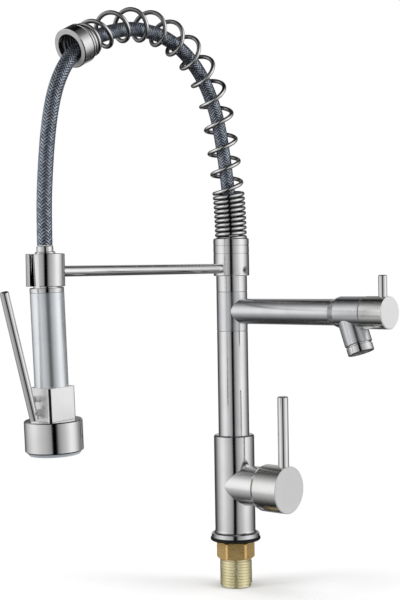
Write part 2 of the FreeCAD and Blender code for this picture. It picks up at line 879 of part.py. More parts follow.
def make_valve_cartridge():
    start = x_valve_end - valve_chamber_length
    outer_r = valve_od / 2 - valve_wall - thread_clear
    length = valve_chamber_length - ring_edge
    solid = Part.makeCylinder(outer_r, length, Vector(0, 0, start))
    solid = solid.cut(Part.makeCylinder(valve_spindle_d / 2 + running_clear, length,
                                        Vector(0, 0, start + valve_chamber_length / 2)))
    port_r = valve_port_d / 2
    inlet_length = arm_reach + outlet_start + port_r - start
    solid = solid.cut(Part.makeCylinder(port_r, inlet_length + overcut, Vector(0, 0, start - overcut)))
    return along_x(solid, z_arm).cut(outlet_turn(Part.makeCylinder(port_r, valve_od / 2)))


def make_valve_spindle():
    start = x_valve_end - valve_chamber_length / 2 + seat_gap
    end = x_knob + valve_spindle_grip
    return along_x(rod(valve_spindle_d / 2, start, end, ring_edge), z_arm)


def make_valve_knob():
    knob_r = knob_od / 2
    knob = along_x(turned([(0, x_knob), (knob_r - knob_edge, x_knob), (knob_r, x_knob + knob_edge),
                           (knob_r, x_knob_end - knob_edge), (knob_r - knob_edge, x_knob_end),
                           (0, x_knob_end)]), z_arm)
    bore = Part.makeCylinder(valve_spindle_d / 2 + thread_clear, valve_spindle_grip + seat_gap + overcut,
                             Vector(0, 0, x_knob - overcut))
    knob = knob.cut(along_x(bore, z_arm))
    pin_foot = Vector(x_knob_pin, 0, z_arm + knob_pin_start - seat_gap)
    knob = knob.cut(Part.makeCylinder(knob_pin_d / 2 + thread_clear, knob_r, pin_foot))
    screw_start = Vector(x_knob_pin, 0, z_arm)
    return knob.cut(Part.makeCylinder(knob_screw_d / 2 + thread_clear, knob_r, screw_start, -Z_AXIS))


def make_knob_pin():
    start = z_arm + knob_pin_start
    pin = rod(knob_pin_d / 2, start, start + knob_pin_length, knob_pin_round)
    pin.translate(Vector(x_knob_pin, 0, 0))
    return pin


def make_knob_grub_screw():
    length = knob_od / 2 - valve_spindle_d / 2 - knob_edge
    screw = grub_screw(knob_screw_d, length)
    screw.rotate(ORIGIN, X_AXIS, 180)
    screw.translate(Vector(x_knob_pin, 0, z_arm - valve_spindle_d / 2 - thread_clear))
    return screw


# Dock

def make_dock_sleeve():
    bore_r = core_od / 2 + running_clear
    sleeve = ring(sleeve_od / 2, bore_r, z_upper_top, z_sleeve_top, ring_edge)
    centre = Vector(0, 0, z_rod)
    sleeve = sleeve.cut(Part.makeCylinder(dock_rod_d / 2 + thread_clear, sleeve_od, centre, -Y_AXIS))
    screw_foot = Vector(0, 0, z_rod - set_screw_drop)
    return sleeve.cut(Part.makeCylinder(set_screw_d / 2 + thread_clear, sleeve_od, screw_foot, X_AXIS))


def make_dock_set_screw():
    start = core_od / 2 + loose_gap
    length = sleeve_od / 2 - ring_edge - start
    screw = grub_screw(set_screw_d, length).translated(Vector(0, 0, start))
    return along_x(screw, z_rod - set_screw_drop)


def make_dock_rod():
    start = core_od / 2 + loose_gap
    end = dock_reach - clip_od / 2 + clip_wall - seat_gap
    return Part.makeCylinder(dock_rod_d / 2, end - start, Vector(0, -start, z_rod), -Y_AXIS)


def make_dock_clip():
    low = z_clip_top - clip_height
    clip = ring(clip_od / 2, clip_od / 2 - clip_wall, low, z_clip_top, ring_edge)
    half = clip_slot / 2
    clip = clip.cut(box(-half, half, -clip_od, 0, low - overcut, z_clip_top + overcut))
    clip.translate(Vector(0, -dock_reach, 0))
    return clip.cut(Part.makeCylinder(dock_rod_d / 2 + thread_clear, dock_reach - clip_od / 2 + clip_wall,
                                      Vector(0, 0, z_rod), -Y_AXIS))


# Neck

def make_neck_ring():
    return ring(sleeve_od / 2, core_od / 2 + running_clear, z_sleeve_top, z_neck_ring_top, ring_edge)


def make_spring_seat():
    outer_r = sleeve_od / 2
    pocket_r = retaining_nut_r() + loose_gap
    floor_top = z_seat_top - seat_socket
    floor_low = floor_top - seat_floor
    socket_r = spring_od / 2 + spring_socket_clear
    bore_r = spring_od / 2 - spring_wire - loose_gap
    return turned([(pocket_r, z_neck_ring_top), (outer_r - ring_edge, z_neck_ring_top),
                   (outer_r, z_neck_ring_top + ring_edge), (outer_r, z_seat_top - 2 * ring_edge),
                   (outer_r - 2 * ring_edge, z_seat_top), (socket_r, z_seat_top), (socket_r, floor_top),
                   (bore_r, floor_top), (bore_r, floor_low), (pocket_r, floor_low)])


def arch_stations():
    """Start of each bend of the arch: length so far, point, lean from upright, radius and turn."""
    stations = []
    length = 0.0
    forward = 0.0
    height = z_seat_top - seat_socket + spring_wire / 2 + loose_gap
    lean = 0.0
    for radius, degrees in ((arch_foot_radius, arch_foot_turn), (arch_rise_radius, arch_rise_turn),
                            (arch_shoulder_radius, arch_shoulder_turn),
                            (arch_crown_radius, arch_crown_turn), (arch_fall_radius, arch_fall_turn)):
        turn = math.radians(degrees)
        stations.append((length, forward, height, lean, radius))
        forward += radius * (math.cos(lean) - math.cos(lean + turn))
        height += radius * (math.sin(lean + turn) - math.sin(lean))
        lean += turn
        length += radius * turn
    stations.append((length, forward, height, lean, None))
    return stations


def arch_place(s):
    """Point of the arch's centre line at a length, with its sideways and outward directions."""
    stations = arch_stations()
    passed = [station for station in stations[1:] if station[0] <= s]
    length, forward, height, lean, radius = ([stations[0]] + passed)[-1]
    run = s - length
    if radius is None or s < 0:
        forward += run * math.sin(lean)
        height += run * math.cos(lean)
    else:
        turned_lean = lean + run / radius
        forward += radius * (math.cos(lean) - math.cos(turned_lean))
        height += radius * (math.sin(turned_lean) - math.sin(lean))
        lean = turned_lean
    return Vector(0, -forward, height), X_AXIS, Vector(0, math.cos(lean), math.sin(lean))


def make_neck_spring():
    total = arch_stations()[-1][0] + arch_run + collar_length - collar_front - spring_wire
    wound = spring_close_turns * spring_close_pitch + spring_lead_turns * spring_lead_pitch
    open_pitch = (total - wound) / spring_open_turns
    s = 0.0
    angle = math.radians(spring_start_angle)
    stations = [(s, angle, spring_close_pitch / (2 * math.pi))]
    for turns, pitch in ((spring_close_turns, spring_close_pitch), (spring_lead_turns, spring_lead_pitch),
                         (spring_open_turns, open_pitch)):
        for quarter in range(round(4 * turns)):
            s += pitch / 4
            angle += math.pi / 2
            stations.append((s, angle, pitch / (2 * math.pi)))
    return coil(arch_place, (spring_od - spring_wire) / 2, spring_wire, stations, "neck_spring")


def collar_axis():
    """Start of the end collar on the arch's centre line, and its lean from upright."""
    length, forward, height, lean, radius = arch_stations()[-1]
    forward += arch_run * math.sin(lean)
    height += arch_run * math.cos(lean)
    return Vector(0, -forward, height), lean


def make_end_collar():
    outer_r = collar_od / 2
    socket_r = spring_od / 2 + spring_socket_clear
    depth = collar_length - collar_front
    groove_r = outer_r - collar_groove_depth
    groove_end = collar_lip + collar_groove
    collar = turned([(socket_r, 0), (outer_r - collar_edge, 0), (outer_r, collar_edge), (outer_r, collar_lip),
                     (groove_r, collar_lip), (groove_r, groove_end), (outer_r, groove_end),
                     (outer_r, collar_length - collar_edge), (outer_r - collar_edge, collar_length),
                     (collar_bore / 2, collar_length), (collar_bore / 2, depth), (socket_r, depth)])
    start, lean = collar_axis()
    collar.rotate(ORIGIN, X_AXIS, math.degrees(lean))
    collar.translate(start)
    return collar


# Spray head: made upright with its axis on Z, its top at 0 and its lever to -Y, then placed

z_grip_ring = -clip_height - grip_ring_od / 2 * math.sin(math.radians(head_tilt)) - loose_gap
z_grip = z_grip_ring - grip_ring_height
z_block = z_grip - grip_length
z_nozzle = z_block - block_height
z_nozzle_low = z_nozzle - nozzle_height
z_lever_pin = z_nozzle + lever_pin_above_collar
z_plunger = z_lever_pin + plunger_above_pin


def head_placed(shape):
    placed = shape.copy()
    placed.rotate(ORIGIN, Z_AXIS, -head_spin)
    placed.rotate(ORIGIN, X_AXIS, head_tilt)
    placed.translate(Vector(0, -dock_reach, z_clip_top))
    return placed


def make_hose_ferrule():
    shoulder_r = ferrule_shoulder_od / 2
    top_r = ferrule_od / 2
    return turned([(neck_bore / 2, 0), (shoulder_r, 0), (shoulder_r, ferrule_shoulder_height - ring_edge),
                   (shoulder_r - ring_edge, ferrule_shoulder_height), (top_r, ferrule_shoulder_height),
                   (top_r, ferrule_height - ring_edge), (top_r - ring_edge, ferrule_height),
                   (neck_bore / 2, ferrule_height)])


def make_spray_neck():
    neck_r = neck_od / 2
    plug_r = grip_top_od / 2 - grip_wall - thread_clear
    plug_top = z_grip - seat_gap
    plug_low = plug_top - neck_plug
    tube_r = inner_tube_od / 2 + thread_clear
    tube_top = plug_low + inner_tube_socket
    return turned([(neck_bore / 2, -seat_gap), (neck_r, -seat_gap), (neck_r, plug_top), (plug_r, plug_top),
                   (plug_r, plug_low), (tube_r, plug_low), (tube_r, tube_top), (neck_bore / 2, tube_top)])


def make_grip_ring():
    return ring(grip_ring_od / 2, neck_od / 2 + thread_clear, z_grip, z_grip_ring, ring_edge)


def make_grip_tube():
    top_r = grip_top_od / 2
    low_r = grip_bottom_od / 2
    return turned([(low_r - grip_wall, z_block), (low_r, z_block), (top_r, z_grip - seat_gap / 2),
                   (top_r - grip_wall, z_grip - seat_gap / 2)])


def make_inner_tube():
    top = z_grip - seat_gap - neck_plug + inner_tube_socket - seat_gap
    low = z_block - inner_tube_socket + seat_gap
    return ring(inner_tube_od / 2, inner_tube_bore / 2, low, top)


def make_valve_block():
    half = block_side / 2
    block = rounded_upright(box(-half, half, -half, half, z_nozzle, z_block - seat_gap), block_edge)
    socket_foot = z_block - inner_tube_socket
    block = block.cut(Part.makeCylinder(inner_tube_od / 2 + thread_clear, inner_tube_socket + overcut,
                                        Vector(0, 0, socket_foot)))
    block = block.cut(Part.makeCylinder(inner_tube_bore / 2, block_height + 2 * overcut,
                                        Vector(0, 0, z_nozzle - overcut)))
    mouth = Vector(0, 0, z_plunger)
    block = block.cut(Part.makeCylinder(plunger_d / 2 + running_clear, block_side, mouth, -Y_AXIS))
    return block.cut(Part.makeCylinder(plunger_chamber_d / 2, plunger_chamber_length,
                                       Vector(0, -plunger_chamber_mouth, z_plunger), Y_AXIS))


def make_nozzle_collar():
    outer_r = nozzle_od / 2
    seat_r = plate_od / 2 + thread_clear
    inner_r = outer_r - 2 * nozzle_wall
    top = z_nozzle - seat_gap
    edge = nozzle_edge
    roof = top - nozzle_roof
    return turned([(inner_tube_bore / 2, roof), (inner_tube_bore / 2, top), (outer_r - edge, top),
                   (outer_r, top - edge), (outer_r, z_nozzle_low + edge), (outer_r - edge, z_nozzle_low),
                   (seat_r, z_nozzle_low), (seat_r, z_nozzle_low + plate_seat),
                   (inner_r, z_nozzle_low + plate_seat), (inner_r, roof)])


def make_face_plate():
    low = z_nozzle_low - plate_proud
    top = z_nozzle_low + plate_seat - thread_clear
    plate = rod(plate_od / 2, -top, -low, nozzle_edge)
    plate.rotate(ORIGIN, X_AXIS, 180)
    holes = []
    for x, y in hole_pattern(jet_rings, jet_ring_step):
        holes.append(Part.makeCylinder(jet_d / 2 + thread_clear, top - low + 2 * overcut,
                                       Vector(x, y, low - overcut)))
    return plate.cut(holes)


def make_nozzle_set():
    low = z_nozzle_low - plate_proud - jet_proud
    top = z_nozzle_low + plate_seat - thread_clear
    jets = []
    for x, y in hole_pattern(jet_rings, jet_ring_step):
        jets.append(ring(jet_d / 2, jet_bore / 2, low, top).translated(Vector(x, y, 0)))
    return group(jets)


def lever_pin_bar(extra_r, length):
    """Bar across the head through the lever's pivot."""
    start = Vector(-length / 2, -lever_pin_out, z_lever_pin)
    return Part.makeCylinder(lever_pin_d / 2 + extra_r, length, start, X_AXIS)


def make_lever_lug():
    half = lug_thickness / 2
    face = -block_side / 2
    bar = box(-half, half, -lever_pin_out, face, z_lever_pin - lug_nose_r, z_lever_pin + lug_nose_r)
    nose = Part.makeCylinder(lug_nose_r, lug_thickness, Vector(-half, -lever_pin_out, z_lever_pin), X_AXIS)
    return bar.fuse(nose).cut(lever_pin_bar(running_clear, spray_lever_d))


def make_lever_pin():
    chord = math.sqrt(spray_lever_d ** 2 - lever_pin_d ** 2)
    return lever_pin_bar(0, chord - 2 * seat_gap)


def make_spray_lever():
    lever = rod(spray_lever_d / 2, -lever_below_pin, spray_lever_length - lever_below_pin, spray_lever_round)
    half = lug_thickness / 2 + loose_gap
    slot_half = lever_slot_length / 2
    slot = box(-half, half, -lug_nose_r - loose_gap, spray_lever_d, -slot_half, slot_half)
    lever = lever.cut(slot)
    lever.rotate(ORIGIN, X_AXIS, spray_lever_lean)
    lever.translate(Vector(0, -lever_pin_out, z_lever_pin))
    return lever.cut(lever_pin_bar(thread_clear / 2, 2 * spray_lever_d))


def plunger_tip():
    """How far out the plunger reaches to the lever's inner side, at the plunger's lower edge."""
    lean = math.radians(spray_lever_lean)
    rise = plunger_above_pin - plunger_d / 2
    return lever_pin_out + rise * math.tan(lean) - spray_lever_d / 2 / math.cos(lean) - loose_gap


def make_plunger():
    tip = plunger_tip()
    collar_end = plunger_collar_in - plunger_collar_length
    plunger = turned([(0, -tip), (plunger_d / 2, -tip), (plunger_d / 2, -plunger_collar_in),
                      (plunger_collar_d / 2, -plunger_collar_in), (plunger_collar_d / 2, -collar_end),
                      (plunger_guide_d / 2, -collar_end),
                      (plunger_guide_d / 2, plunger_guide_length - collar_end),
                      (0, plunger_guide_length - collar_end)])
    plunger.rotate(ORIGIN, X_AXIS, -90)
    plunger.translate(Vector(0, 0, z_plunger))
    return plunger


def make_plunger_spring():
    wire = plunger_spring_wire
    end = plunger_chamber_length - plunger_chamber_mouth - wire
    start = end - plunger_spring_pitch * plunger_spring_turns
    rate = plunger_spring_pitch / (2 * math.pi)

    def place(s):
        return Vector(0, start + s, z_plunger), Z_AXIS, X_AXIS

    stations = []
    for k in range(4 * plunger_spring_turns + 1):
        stations.append((k * plunger_spring_pitch / 4, k * math.pi / 2, rate))
    return coil(place, (plunger_spring_od - wire) / 2, wire, stations, "plunger_spring")


STANDING_PIECES = {
    "shank": make_shank, "mounting_nut": make_mounting_nut, "base_gasket": make_base_gasket,
    "base_ring": make_base_ring, "mixer_body": make_mixer_body, "cartridge_body": make_cartridge_body,
    "cartridge_seals": make_cartridge_seals, "bonnet_nut": make_bonnet_nut,
    "cartridge_spindle": make_cartridge_spindle, "stem_pin": make_stem_pin,
    "cartridge_stem": make_cartridge_stem, "handle_cap": make_handle_cap,
    "handle_lever": make_handle_lever, "handle_grub_screw": make_handle_grub_screw,
    "riser_tube": make_riser_tube, "riser_seal": make_riser_seal, "core_pipe": make_core_pipe,
    "swivel_seals": make_swivel_seals, "upper_tube": make_upper_tube,
    "retaining_nut": make_retaining_nut, "hose_nut": make_hose_nut, "swivel_tee": make_swivel_tee,
    "valve_body": make_valve_body, "aerator_housing": make_aerator_housing,
    "aerator_washer": make_aerator_washer, "aerator_insert": make_aerator_insert,
    "valve_cartridge": make_valve_cartridge, "valve_spindle": make_valve_spindle,
    "valve_knob": make_valve_knob, "knob_pin": make_knob_pin, "knob_grub_screw": make_knob_grub_screw,
    "dock_sleeve": make_dock_sleeve, "dock_set_screw": make_dock_set_screw, "dock_rod": make_dock_rod,
    "dock_clip": make_dock_clip, "neck_ring": make_neck_ring, "spring_seat": make_spring_seat,
    "neck_spring": make_neck_spring, "end_collar": make_end_collar,
}
HEAD_PIECES = {
    "hose_ferrule": make_hose_ferrule, "spray_neck": make_spray_neck, "grip_ring": make_grip_ring,
    "grip_tube": make_grip_tube, "inner_tube": make_inner_tube, "valve_block": make_valve_block,
    "nozzle_collar": make_nozzle_collar, "face_plate": make_face_plate, "nozzle_set": make_nozzle_set,
    "lever_lug": make_lever_lug, "lever_pin": make_lever_pin, "spray_lever": make_spray_lever,
    "plunger": make_plunger, "plunger_spring": make_plunger_spring,
}

os.makedirs("parts", exist_ok=True)
for name, make in STANDING_PIECES.items():
    save(name, make())
for name, make in HEAD_PIECES.items():
    save(name, head_placed(make()))
save("hose_arch", hose_stretch(0, hose_split + 0.5, "hose_arch"))
save("hose_drop", hose_stretch(hose_split + 0.5, len(hose_route) - 1, "hose_drop"))
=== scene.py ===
import math
import bmesh
import bpy
from mathutils import Matrix, Vector


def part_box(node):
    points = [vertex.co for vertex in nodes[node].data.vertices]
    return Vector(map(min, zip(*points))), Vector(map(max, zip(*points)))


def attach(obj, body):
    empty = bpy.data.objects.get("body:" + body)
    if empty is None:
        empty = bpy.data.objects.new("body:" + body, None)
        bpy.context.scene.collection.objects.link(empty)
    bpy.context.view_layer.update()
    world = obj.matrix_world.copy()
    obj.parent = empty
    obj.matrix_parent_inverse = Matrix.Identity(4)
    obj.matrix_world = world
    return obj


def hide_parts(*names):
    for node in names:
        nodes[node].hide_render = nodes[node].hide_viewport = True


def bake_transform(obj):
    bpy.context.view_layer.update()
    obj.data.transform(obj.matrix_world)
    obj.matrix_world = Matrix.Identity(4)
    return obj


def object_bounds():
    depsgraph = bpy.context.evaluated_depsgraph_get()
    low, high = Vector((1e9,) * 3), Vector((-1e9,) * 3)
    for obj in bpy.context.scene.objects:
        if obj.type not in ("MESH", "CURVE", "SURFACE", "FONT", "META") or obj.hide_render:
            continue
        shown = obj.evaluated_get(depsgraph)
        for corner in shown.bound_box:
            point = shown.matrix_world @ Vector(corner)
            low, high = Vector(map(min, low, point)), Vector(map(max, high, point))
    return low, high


# A kitchen faucet with a spring-guided pull-out spray and a pot-filler arm, in metres.
# The solids carry most of the shape. Here the hose gets its woven braid, the springs their drawn
# wire, the shank its thread, and every piece its finish. The object's own sizes are written in
# millimetres, which MM turns to metres.

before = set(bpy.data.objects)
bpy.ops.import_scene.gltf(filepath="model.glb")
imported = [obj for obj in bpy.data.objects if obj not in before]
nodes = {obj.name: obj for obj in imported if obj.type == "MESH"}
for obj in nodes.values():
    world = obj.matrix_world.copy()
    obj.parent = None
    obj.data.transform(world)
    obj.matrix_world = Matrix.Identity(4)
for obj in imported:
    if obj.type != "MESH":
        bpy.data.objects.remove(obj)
cad_box = [list(corner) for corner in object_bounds()]
MM = 0.001


def add(tree, kind, inputs=None, **settings):
    """Adds a node with its settings. An input is a value, an output, or a node for its first output."""
    new = tree.nodes.new(kind)
    for name, value in settings.items():
        setattr(new, name, value)
    for key, value in (inputs or {}).items():
        if isinstance(value, bpy.types.Node):
            value = value.outputs[0]
        if isinstance(value, bpy.types.NodeSocket):
            tree.links.new(value, new.inputs[key])
        else:
            new.inputs[key].default_value = value
    return new


def colour(code):
    """Linear colour of an sRGB hex value."""
    parts = [int(code[k:k + 2], 16) / 255 for k in (1, 3, 5)]
    return tuple(c / 12.92 if c <= 0.04045 else ((c + 0.055) / 1.055) ** 2.4 for c in parts) + (1.0,)


# Camera, at the viewing angle of a catalogue picture: front right, a little above the deck

view_azimuth = math.radians(41.5)
view_distance = 1404 * MM
view_height = 282.5 * MM
view_offset = 33.2 * MM
view_pitch = math.radians(1.31)
view_roll = math.radians(-0.92)
view_lens, film_width = 81, 36
nearest_seen = 50 * MM

up = Vector((0, 0, 1))
towards_camera = Vector((math.sin(view_azimuth), -math.cos(view_azimuth), 0))
image_right = Vector((math.cos(view_azimuth), math.sin(view_azimuth), 0))
camera_data = bpy.data.cameras.new("picture_camera")
camera_data.lens = view_lens
camera_data.sensor_width = film_width
camera_data.clip_start = nearest_seen
camera = bpy.data.objects.new("picture_camera", camera_data)
bpy.context.scene.collection.objects.link(camera)
pitched_back = towards_camera * math.cos(view_pitch) + up * math.sin(view_pitch)
pitched_up = up * math.cos(view_pitch) - towards_camera * math.sin(view_pitch)
rolled_right = image_right * math.cos(view_roll) + pitched_up * math.sin(view_roll)
rolled_up = pitched_up * math.cos(view_roll) - image_right * math.sin(view_roll)
turn = Matrix((rolled_right, rolled_up, pitched_back)).transposed().to_4x4()
place = towards_camera * view_distance - image_right * view_offset + up * view_height
camera.matrix_world = Matrix.Translation(place) @ turn
bpy.context.scene.camera = camera


# Finishes

# Tool lines on metal: how often the noise changes in a metre along a line, the noise's range and the depth
lines_along = 30.0
lines_range = (0.3, 0.7)
lines_depth = 0.02
# Slow changes of tone on metal and on mouldings: their size, and the noise's range
metal_cloud, moulded_cloud = 22, 15
cloud_range = (0.35, 0.65)
# Grain of a moulding: its depth and strength, and how far the roughness wanders
grain_depth, grain_strength = 0.05, 0.15
moulded_wear = 0.06


def new_finish(name):
    """Material with an empty tree but for its shader and output."""
    finish = bpy.data.materials.new(name)
    finish.use_nodes = True
    finish.node_tree.nodes.clear()
    shader = add(finish.node_tree, "ShaderNodeBsdfPrincipled")
    add(finish.node_tree, "ShaderNodeOutputMaterial", {"Surface": shader})
    return finish, finish.node_tree, shader


def metal(name, light, shade, rough, line_width, brushed_axis, relief=0.0, metallic=1.0, end_face=None,
          painted_shade=None):
    """Plated or bare metal with fine tool lines across one axis and slow changes of tone.

    rough is the least and most roughness. line_width is the lines' spacing in millimetres, which is
    drawn coarser than the real 0.05 mm so that it shows. end_face is a direction, or None for outwards
    from the upright axis, the distance that way where a turned end begins, and that end's tone,
    roughness and share of bare metal. worn is an attribute of the piece and the tone of painted shade
    that the metal takes where the attribute is 1.
    """
    finish, tree, shader = new_finish(name)
    coords = add(tree, "ShaderNodeTexCoord").outputs["Object"]
    stretch = [lines_along] * 3
    stretch["XYZ".index(brushed_axis)] = 1 / (line_width * MM)
    run = add(tree, "ShaderNodeMapping", {"Vector": coords, "Scale": stretch})
    lines = add(tree, "ShaderNodeTexNoise", {"Vector": run, "Scale": 1.0, "Detail": 3.0})
    cloud = add(tree, "ShaderNodeTexNoise", {"Vector": coords, "Scale": 1 / (metal_cloud * MM),
                                             "Detail": 2.0})
    tone = add(tree, "ShaderNodeMapRange", {"Value": cloud, "From Min": cloud_range[0],
                                            "From Max": cloud_range[1]})
    base = add(tree, "ShaderNodeMix", {0: tone, 6: colour(light), 7: colour(shade)}, data_type="RGBA")
    tone_out = base.outputs[2]
    dull = add(tree, "ShaderNodeMapRange", {"Value": lines, "From Min": lines_range[0],
                                            "From Max": lines_range[1], "To Min": rough[0],
                                            "To Max": rough[1]}).outputs[0]
    if end_face:
        way, start, pale, end_rough, end_metallic = end_face
        if way:
            reach = add(tree, "ShaderNodeVectorMath", {0: coords, 1: way}, operation="DOT_PRODUCT")
        else:
            level = add(tree, "ShaderNodeVectorMath", {0: coords, 1: (1, 1, 0)}, operation="MULTIPLY")
            reach = add(tree, "ShaderNodeVectorMath", {0: level.outputs[0]}, operation="LENGTH")
        reach = reach.outputs["Value"]
        turned = add(tree, "ShaderNodeMath", {0: reach, 1: start}, operation="GREATER_THAN")
        tone_out = add(tree, "ShaderNodeMix", {0: turned, 6: tone_out, 7: colour(pale)},
                       data_type="RGBA").outputs[2]
        dull = add(tree, "ShaderNodeMix", {0: turned, 2: dull, 3: end_rough}).outputs[0]
        plate = add(tree, "ShaderNodeMapRange", {"Value": turned, "To Min": metallic,
                                                 "To Max": end_metallic})
        tree.links.new(plate.outputs[0], shader.inputs["Metallic"])
    # Painted shade: a darker tone laid over the metal's own where the attribute is 1
    if painted_shade:
        place, dark = painted_shade
        share = add(tree, "ShaderNodeAttribute", attribute_name=place).outputs["Fac"]
        tone_out = add(tree, "ShaderNodeMix", {0: share, 6: tone_out, 7: colour(dark)},
                       data_type="RGBA").outputs[2]
    tree.links.new(tone_out, shader.inputs["Base Color"])
    tree.links.new(dull, shader.inputs["Roughness"])
    if relief:
        bump = add(tree, "ShaderNodeBump", {"Height": lines, "Strength": relief,
                                            "Distance": lines_depth * MM})
        tree.links.new(bump.outputs[0], shader.inputs["Normal"])
    shader.inputs["Metallic"].default_value = metallic
    return finish


def moulded(name, light, shade, rough, grain):
    """Moulded plastic or rubber with a fine grain, in millimetres, left by the tool."""
    finish, tree, shader = new_finish(name)
    coords = add(tree, "ShaderNodeTexCoord").outputs["Object"]
    pores = add(tree, "ShaderNodeTexNoise", {"Vector": coords, "Scale": 1 / (grain * MM), "Detail": 2.0})
    cloud = add(tree, "ShaderNodeTexNoise", {"Vector": coords, "Scale": 1 / (moulded_cloud * MM),
                                             "Detail": 2.0})
    base = add(tree, "ShaderNodeMix", {0: cloud, 6: colour(light), 7: colour(shade)}, data_type="RGBA")
    tree.links.new(base.outputs[2], shader.inputs["Base Color"])
    dull = add(tree, "ShaderNodeMapRange", {"Value": cloud, "To Min": rough - moulded_wear,
                                            "To Max": rough + moulded_wear})
    tree.links.new(dull.outputs[0], shader.inputs["Roughness"])
    bump = add(tree, "ShaderNodeBump", {"Height": pores, "Strength": grain_strength,
                                        "Distance": grain_depth * MM})
    tree.links.new(bump.outputs[0], shader.inputs["Normal"])
    return finish


# Brushed nickel plate, satin: neutral grey, reflections sharp round the tube and drawn out along it
column_nickel = metal("brushed_nickel_column", "#e9e9ea", "#e2e2e4", (0.09, 0.14), 0.5, "Z", 0.05)
# The same plate on the mixer body, whose side boss, outside the column's own radius, is turned: duller, paler
boss_start = 21.2
body_nickel = metal("brushed_nickel_body", "#e9e9ea", "#e2e2e4", (0.09, 0.14), 0.5, "Z", 0.05,
                    end_face=(None, boss_start * MM, "#f1f1f1", 0.2, 0.96))
# The same plate on the pot-filler arm, brushed round it: softer reflections without a sharp edge
arm_nickel = metal("brushed_nickel_arm", "#e4e5e7", "#dddee1", (0.21, 0.25), 0.5, "X", 0.02)
# Polished nickel plate: mirror-like with a faint haze of handling
upright_polish = metal("polished_nickel_upright", "#ececec", "#e6e6e6", (0.06, 0.11), 0.8, "Z")
# The same plate on the docking rod: the brightest and clearest mirror
rod_polish = metal("polished_nickel_rod", "#fafafa", "#f4f4f4", (0.04, 0.08), 0.8, "Y")
# The same plate on turned pieces, whose end faces keep the pale haze of the facing tool
faced_rough, faced_metallic = 0.45, 0.45
cap_face, knob_face = 71.2, 194.4
cap_polish = metal("polished_nickel_cap", "#ebebe9", "#e5e5e2", (0.15, 0.2), 0.8, "X",
                   end_face=((1, 0, 0), cap_face * MM, "#eaeaea", faced_rough, faced_metallic))
knob_polish = metal("polished_nickel_knob", "#ebebe9", "#e5e5e2", (0.16, 0.21), 0.8, "X",
                    end_face=((1, 0, 0), knob_face * MM, "#ffffff", faced_rough, faced_metallic))
# Chromed spring wire: bright on the outside of the coil, with drawing marks that only dull it slightly,
# and a painted shade between the turns and inside the coil, where little light gets in
wire_chrome = metal("chromed_spring_wire", "#f8f8f8", "#f0f0f0", (0.03, 0.07), 0.6, "Z",
                    painted_shade=("wire_shade", "#585858"))
# Satin chrome on a moulded grip: bluish silver, soft broad reflections
grip_silver = metal("satin_chrome_grip", "#f7fafd", "#f0f4f9", (0.26, 0.27), 0.5, "Z", 0.0, 0.9)
# Ground and plated block: flat pale planes with a soft sheen, no clear mirror image
block_satin = metal("satin_nickel_block", "#fbfbfb", "#f6f6f6", (0.3, 0.34), 0.6, "Z", 0.0, 0.6)
# Tumbled zinc of the small working pieces behind the lever: pale and satin
tumbled_zinc = metal("tumbled_zinc", "#f4f4f2", "#eaeae8", (0.42, 0.48), 0.6, "Z", 0.05, 0.2)
# Machined brass bar: golden, with the fine feed lines of the tool
nut_brass = metal("machined_brass", "#fbd792", "#efc67c", (0.22, 0.3), 0.7, "Z", 0.15, 0.75)
# Free-cutting brass of the shank: pale straw yellow, bright on the thread's flanks
shank_brass = metal("threaded_brass", "#fcf4ce", "#f4ebc0", (0.14, 0.22), 0.4, "Z", 0.05, 0.75)
# Turned stainless steel of pins and screws: cool mid grey with bright edges
steel = metal("bright_stainless_steel", "#c2c2c2", "#b6b6b8", (0.16, 0.24), 0.5, "X", 0.1)
# Moulded nitrile rubber of the gaskets and seals: black and matt
rubber = moulded("black_nitrile_rubber", "#050505", "#0b0b0c", 0.6, 0.5)
# Moulded acetal of the cartridges: off-white and slightly waxy
valve_plastic = moulded("acetal_valve_plastic", "#dedcd4", "#d4d2ca", 0.42, 0.6)
# Moulded ABS of the spray's face: pale blue-grey with a satin sheen
plate_plastic = moulded("abs_spray_plate", "#d4dce3", "#c6ced5", 0.4, 0.6)
# Moulded acetal of the aerator's insert: darkened to mid grey as a painted shade from its housing
shaded_insert_plastic = moulded("acetal_aerator_insert_painted_shade", "#85888b", "#74777a", 0.4, 0.6)
# Moulded silicone of the spray's jets: dark grey, dull and soft
silicone = moulded("silicone_jets", "#43464b", "#383b40", 0.55, 0.4)


def braid_finish():
    """Stainless and nylon yarn woven into a sleeve: blue-grey, glinting on the crowns, dark between."""
    finish, tree, shader = new_finish("woven_hose_braid")
    height = add(tree, "ShaderNodeAttribute", attribute_name="yarn_height").outputs["Fac"]
    tint = add(tree, "ShaderNodeAttribute", attribute_name="yarn_tint").outputs["Fac"]
    yarn = add(tree, "ShaderNodeMix", {0: tint, 6: colour("#949fb1"), 7: colour("#ccd4e0")},
               data_type="RGBA")
    # Where the yarns meet, the tone falls to near-black: a painted shade of the crevices
    crown = add(tree, "ShaderNodeMapRange", {"Value": height, "From Min": 0.35, "From Max": 0.85})
    base = add(tree, "ShaderNodeMix", {0: crown, 6: colour("#12161c"), 7: yarn.outputs[2]},
               data_type="RGBA")
    tree.links.new(base.outputs[2], shader.inputs["Base Color"])
    dull = add(tree, "ShaderNodeMapRange", {"Value": height, "To Min": 0.55, "To Max": 0.3})
    tree.links.new(dull.outputs[0], shader.inputs["Roughness"])
    shader.inputs["Metallic"].default_value = 0.95
    return finish


braid = braid_finish()


# Geometry trees

edge_angle = math.radians(35)
guide_steps = 24


def new_tree(name, sizes):
    """Geometry tree with named sizes as its inputs, and the node that hands them on."""
    tree = bpy.data.node_groups.new(name, "GeometryNodeTree")
    tree.interface.new_socket("Geometry", in_out="OUTPUT", socket_type="NodeSocketGeometry")
    for label, kind in sizes.items():
        tree.interface.new_socket(label, in_out="INPUT", socket_type="NodeSocket" + kind)
    return tree, tree.nodes.new("NodeGroupInput").outputs


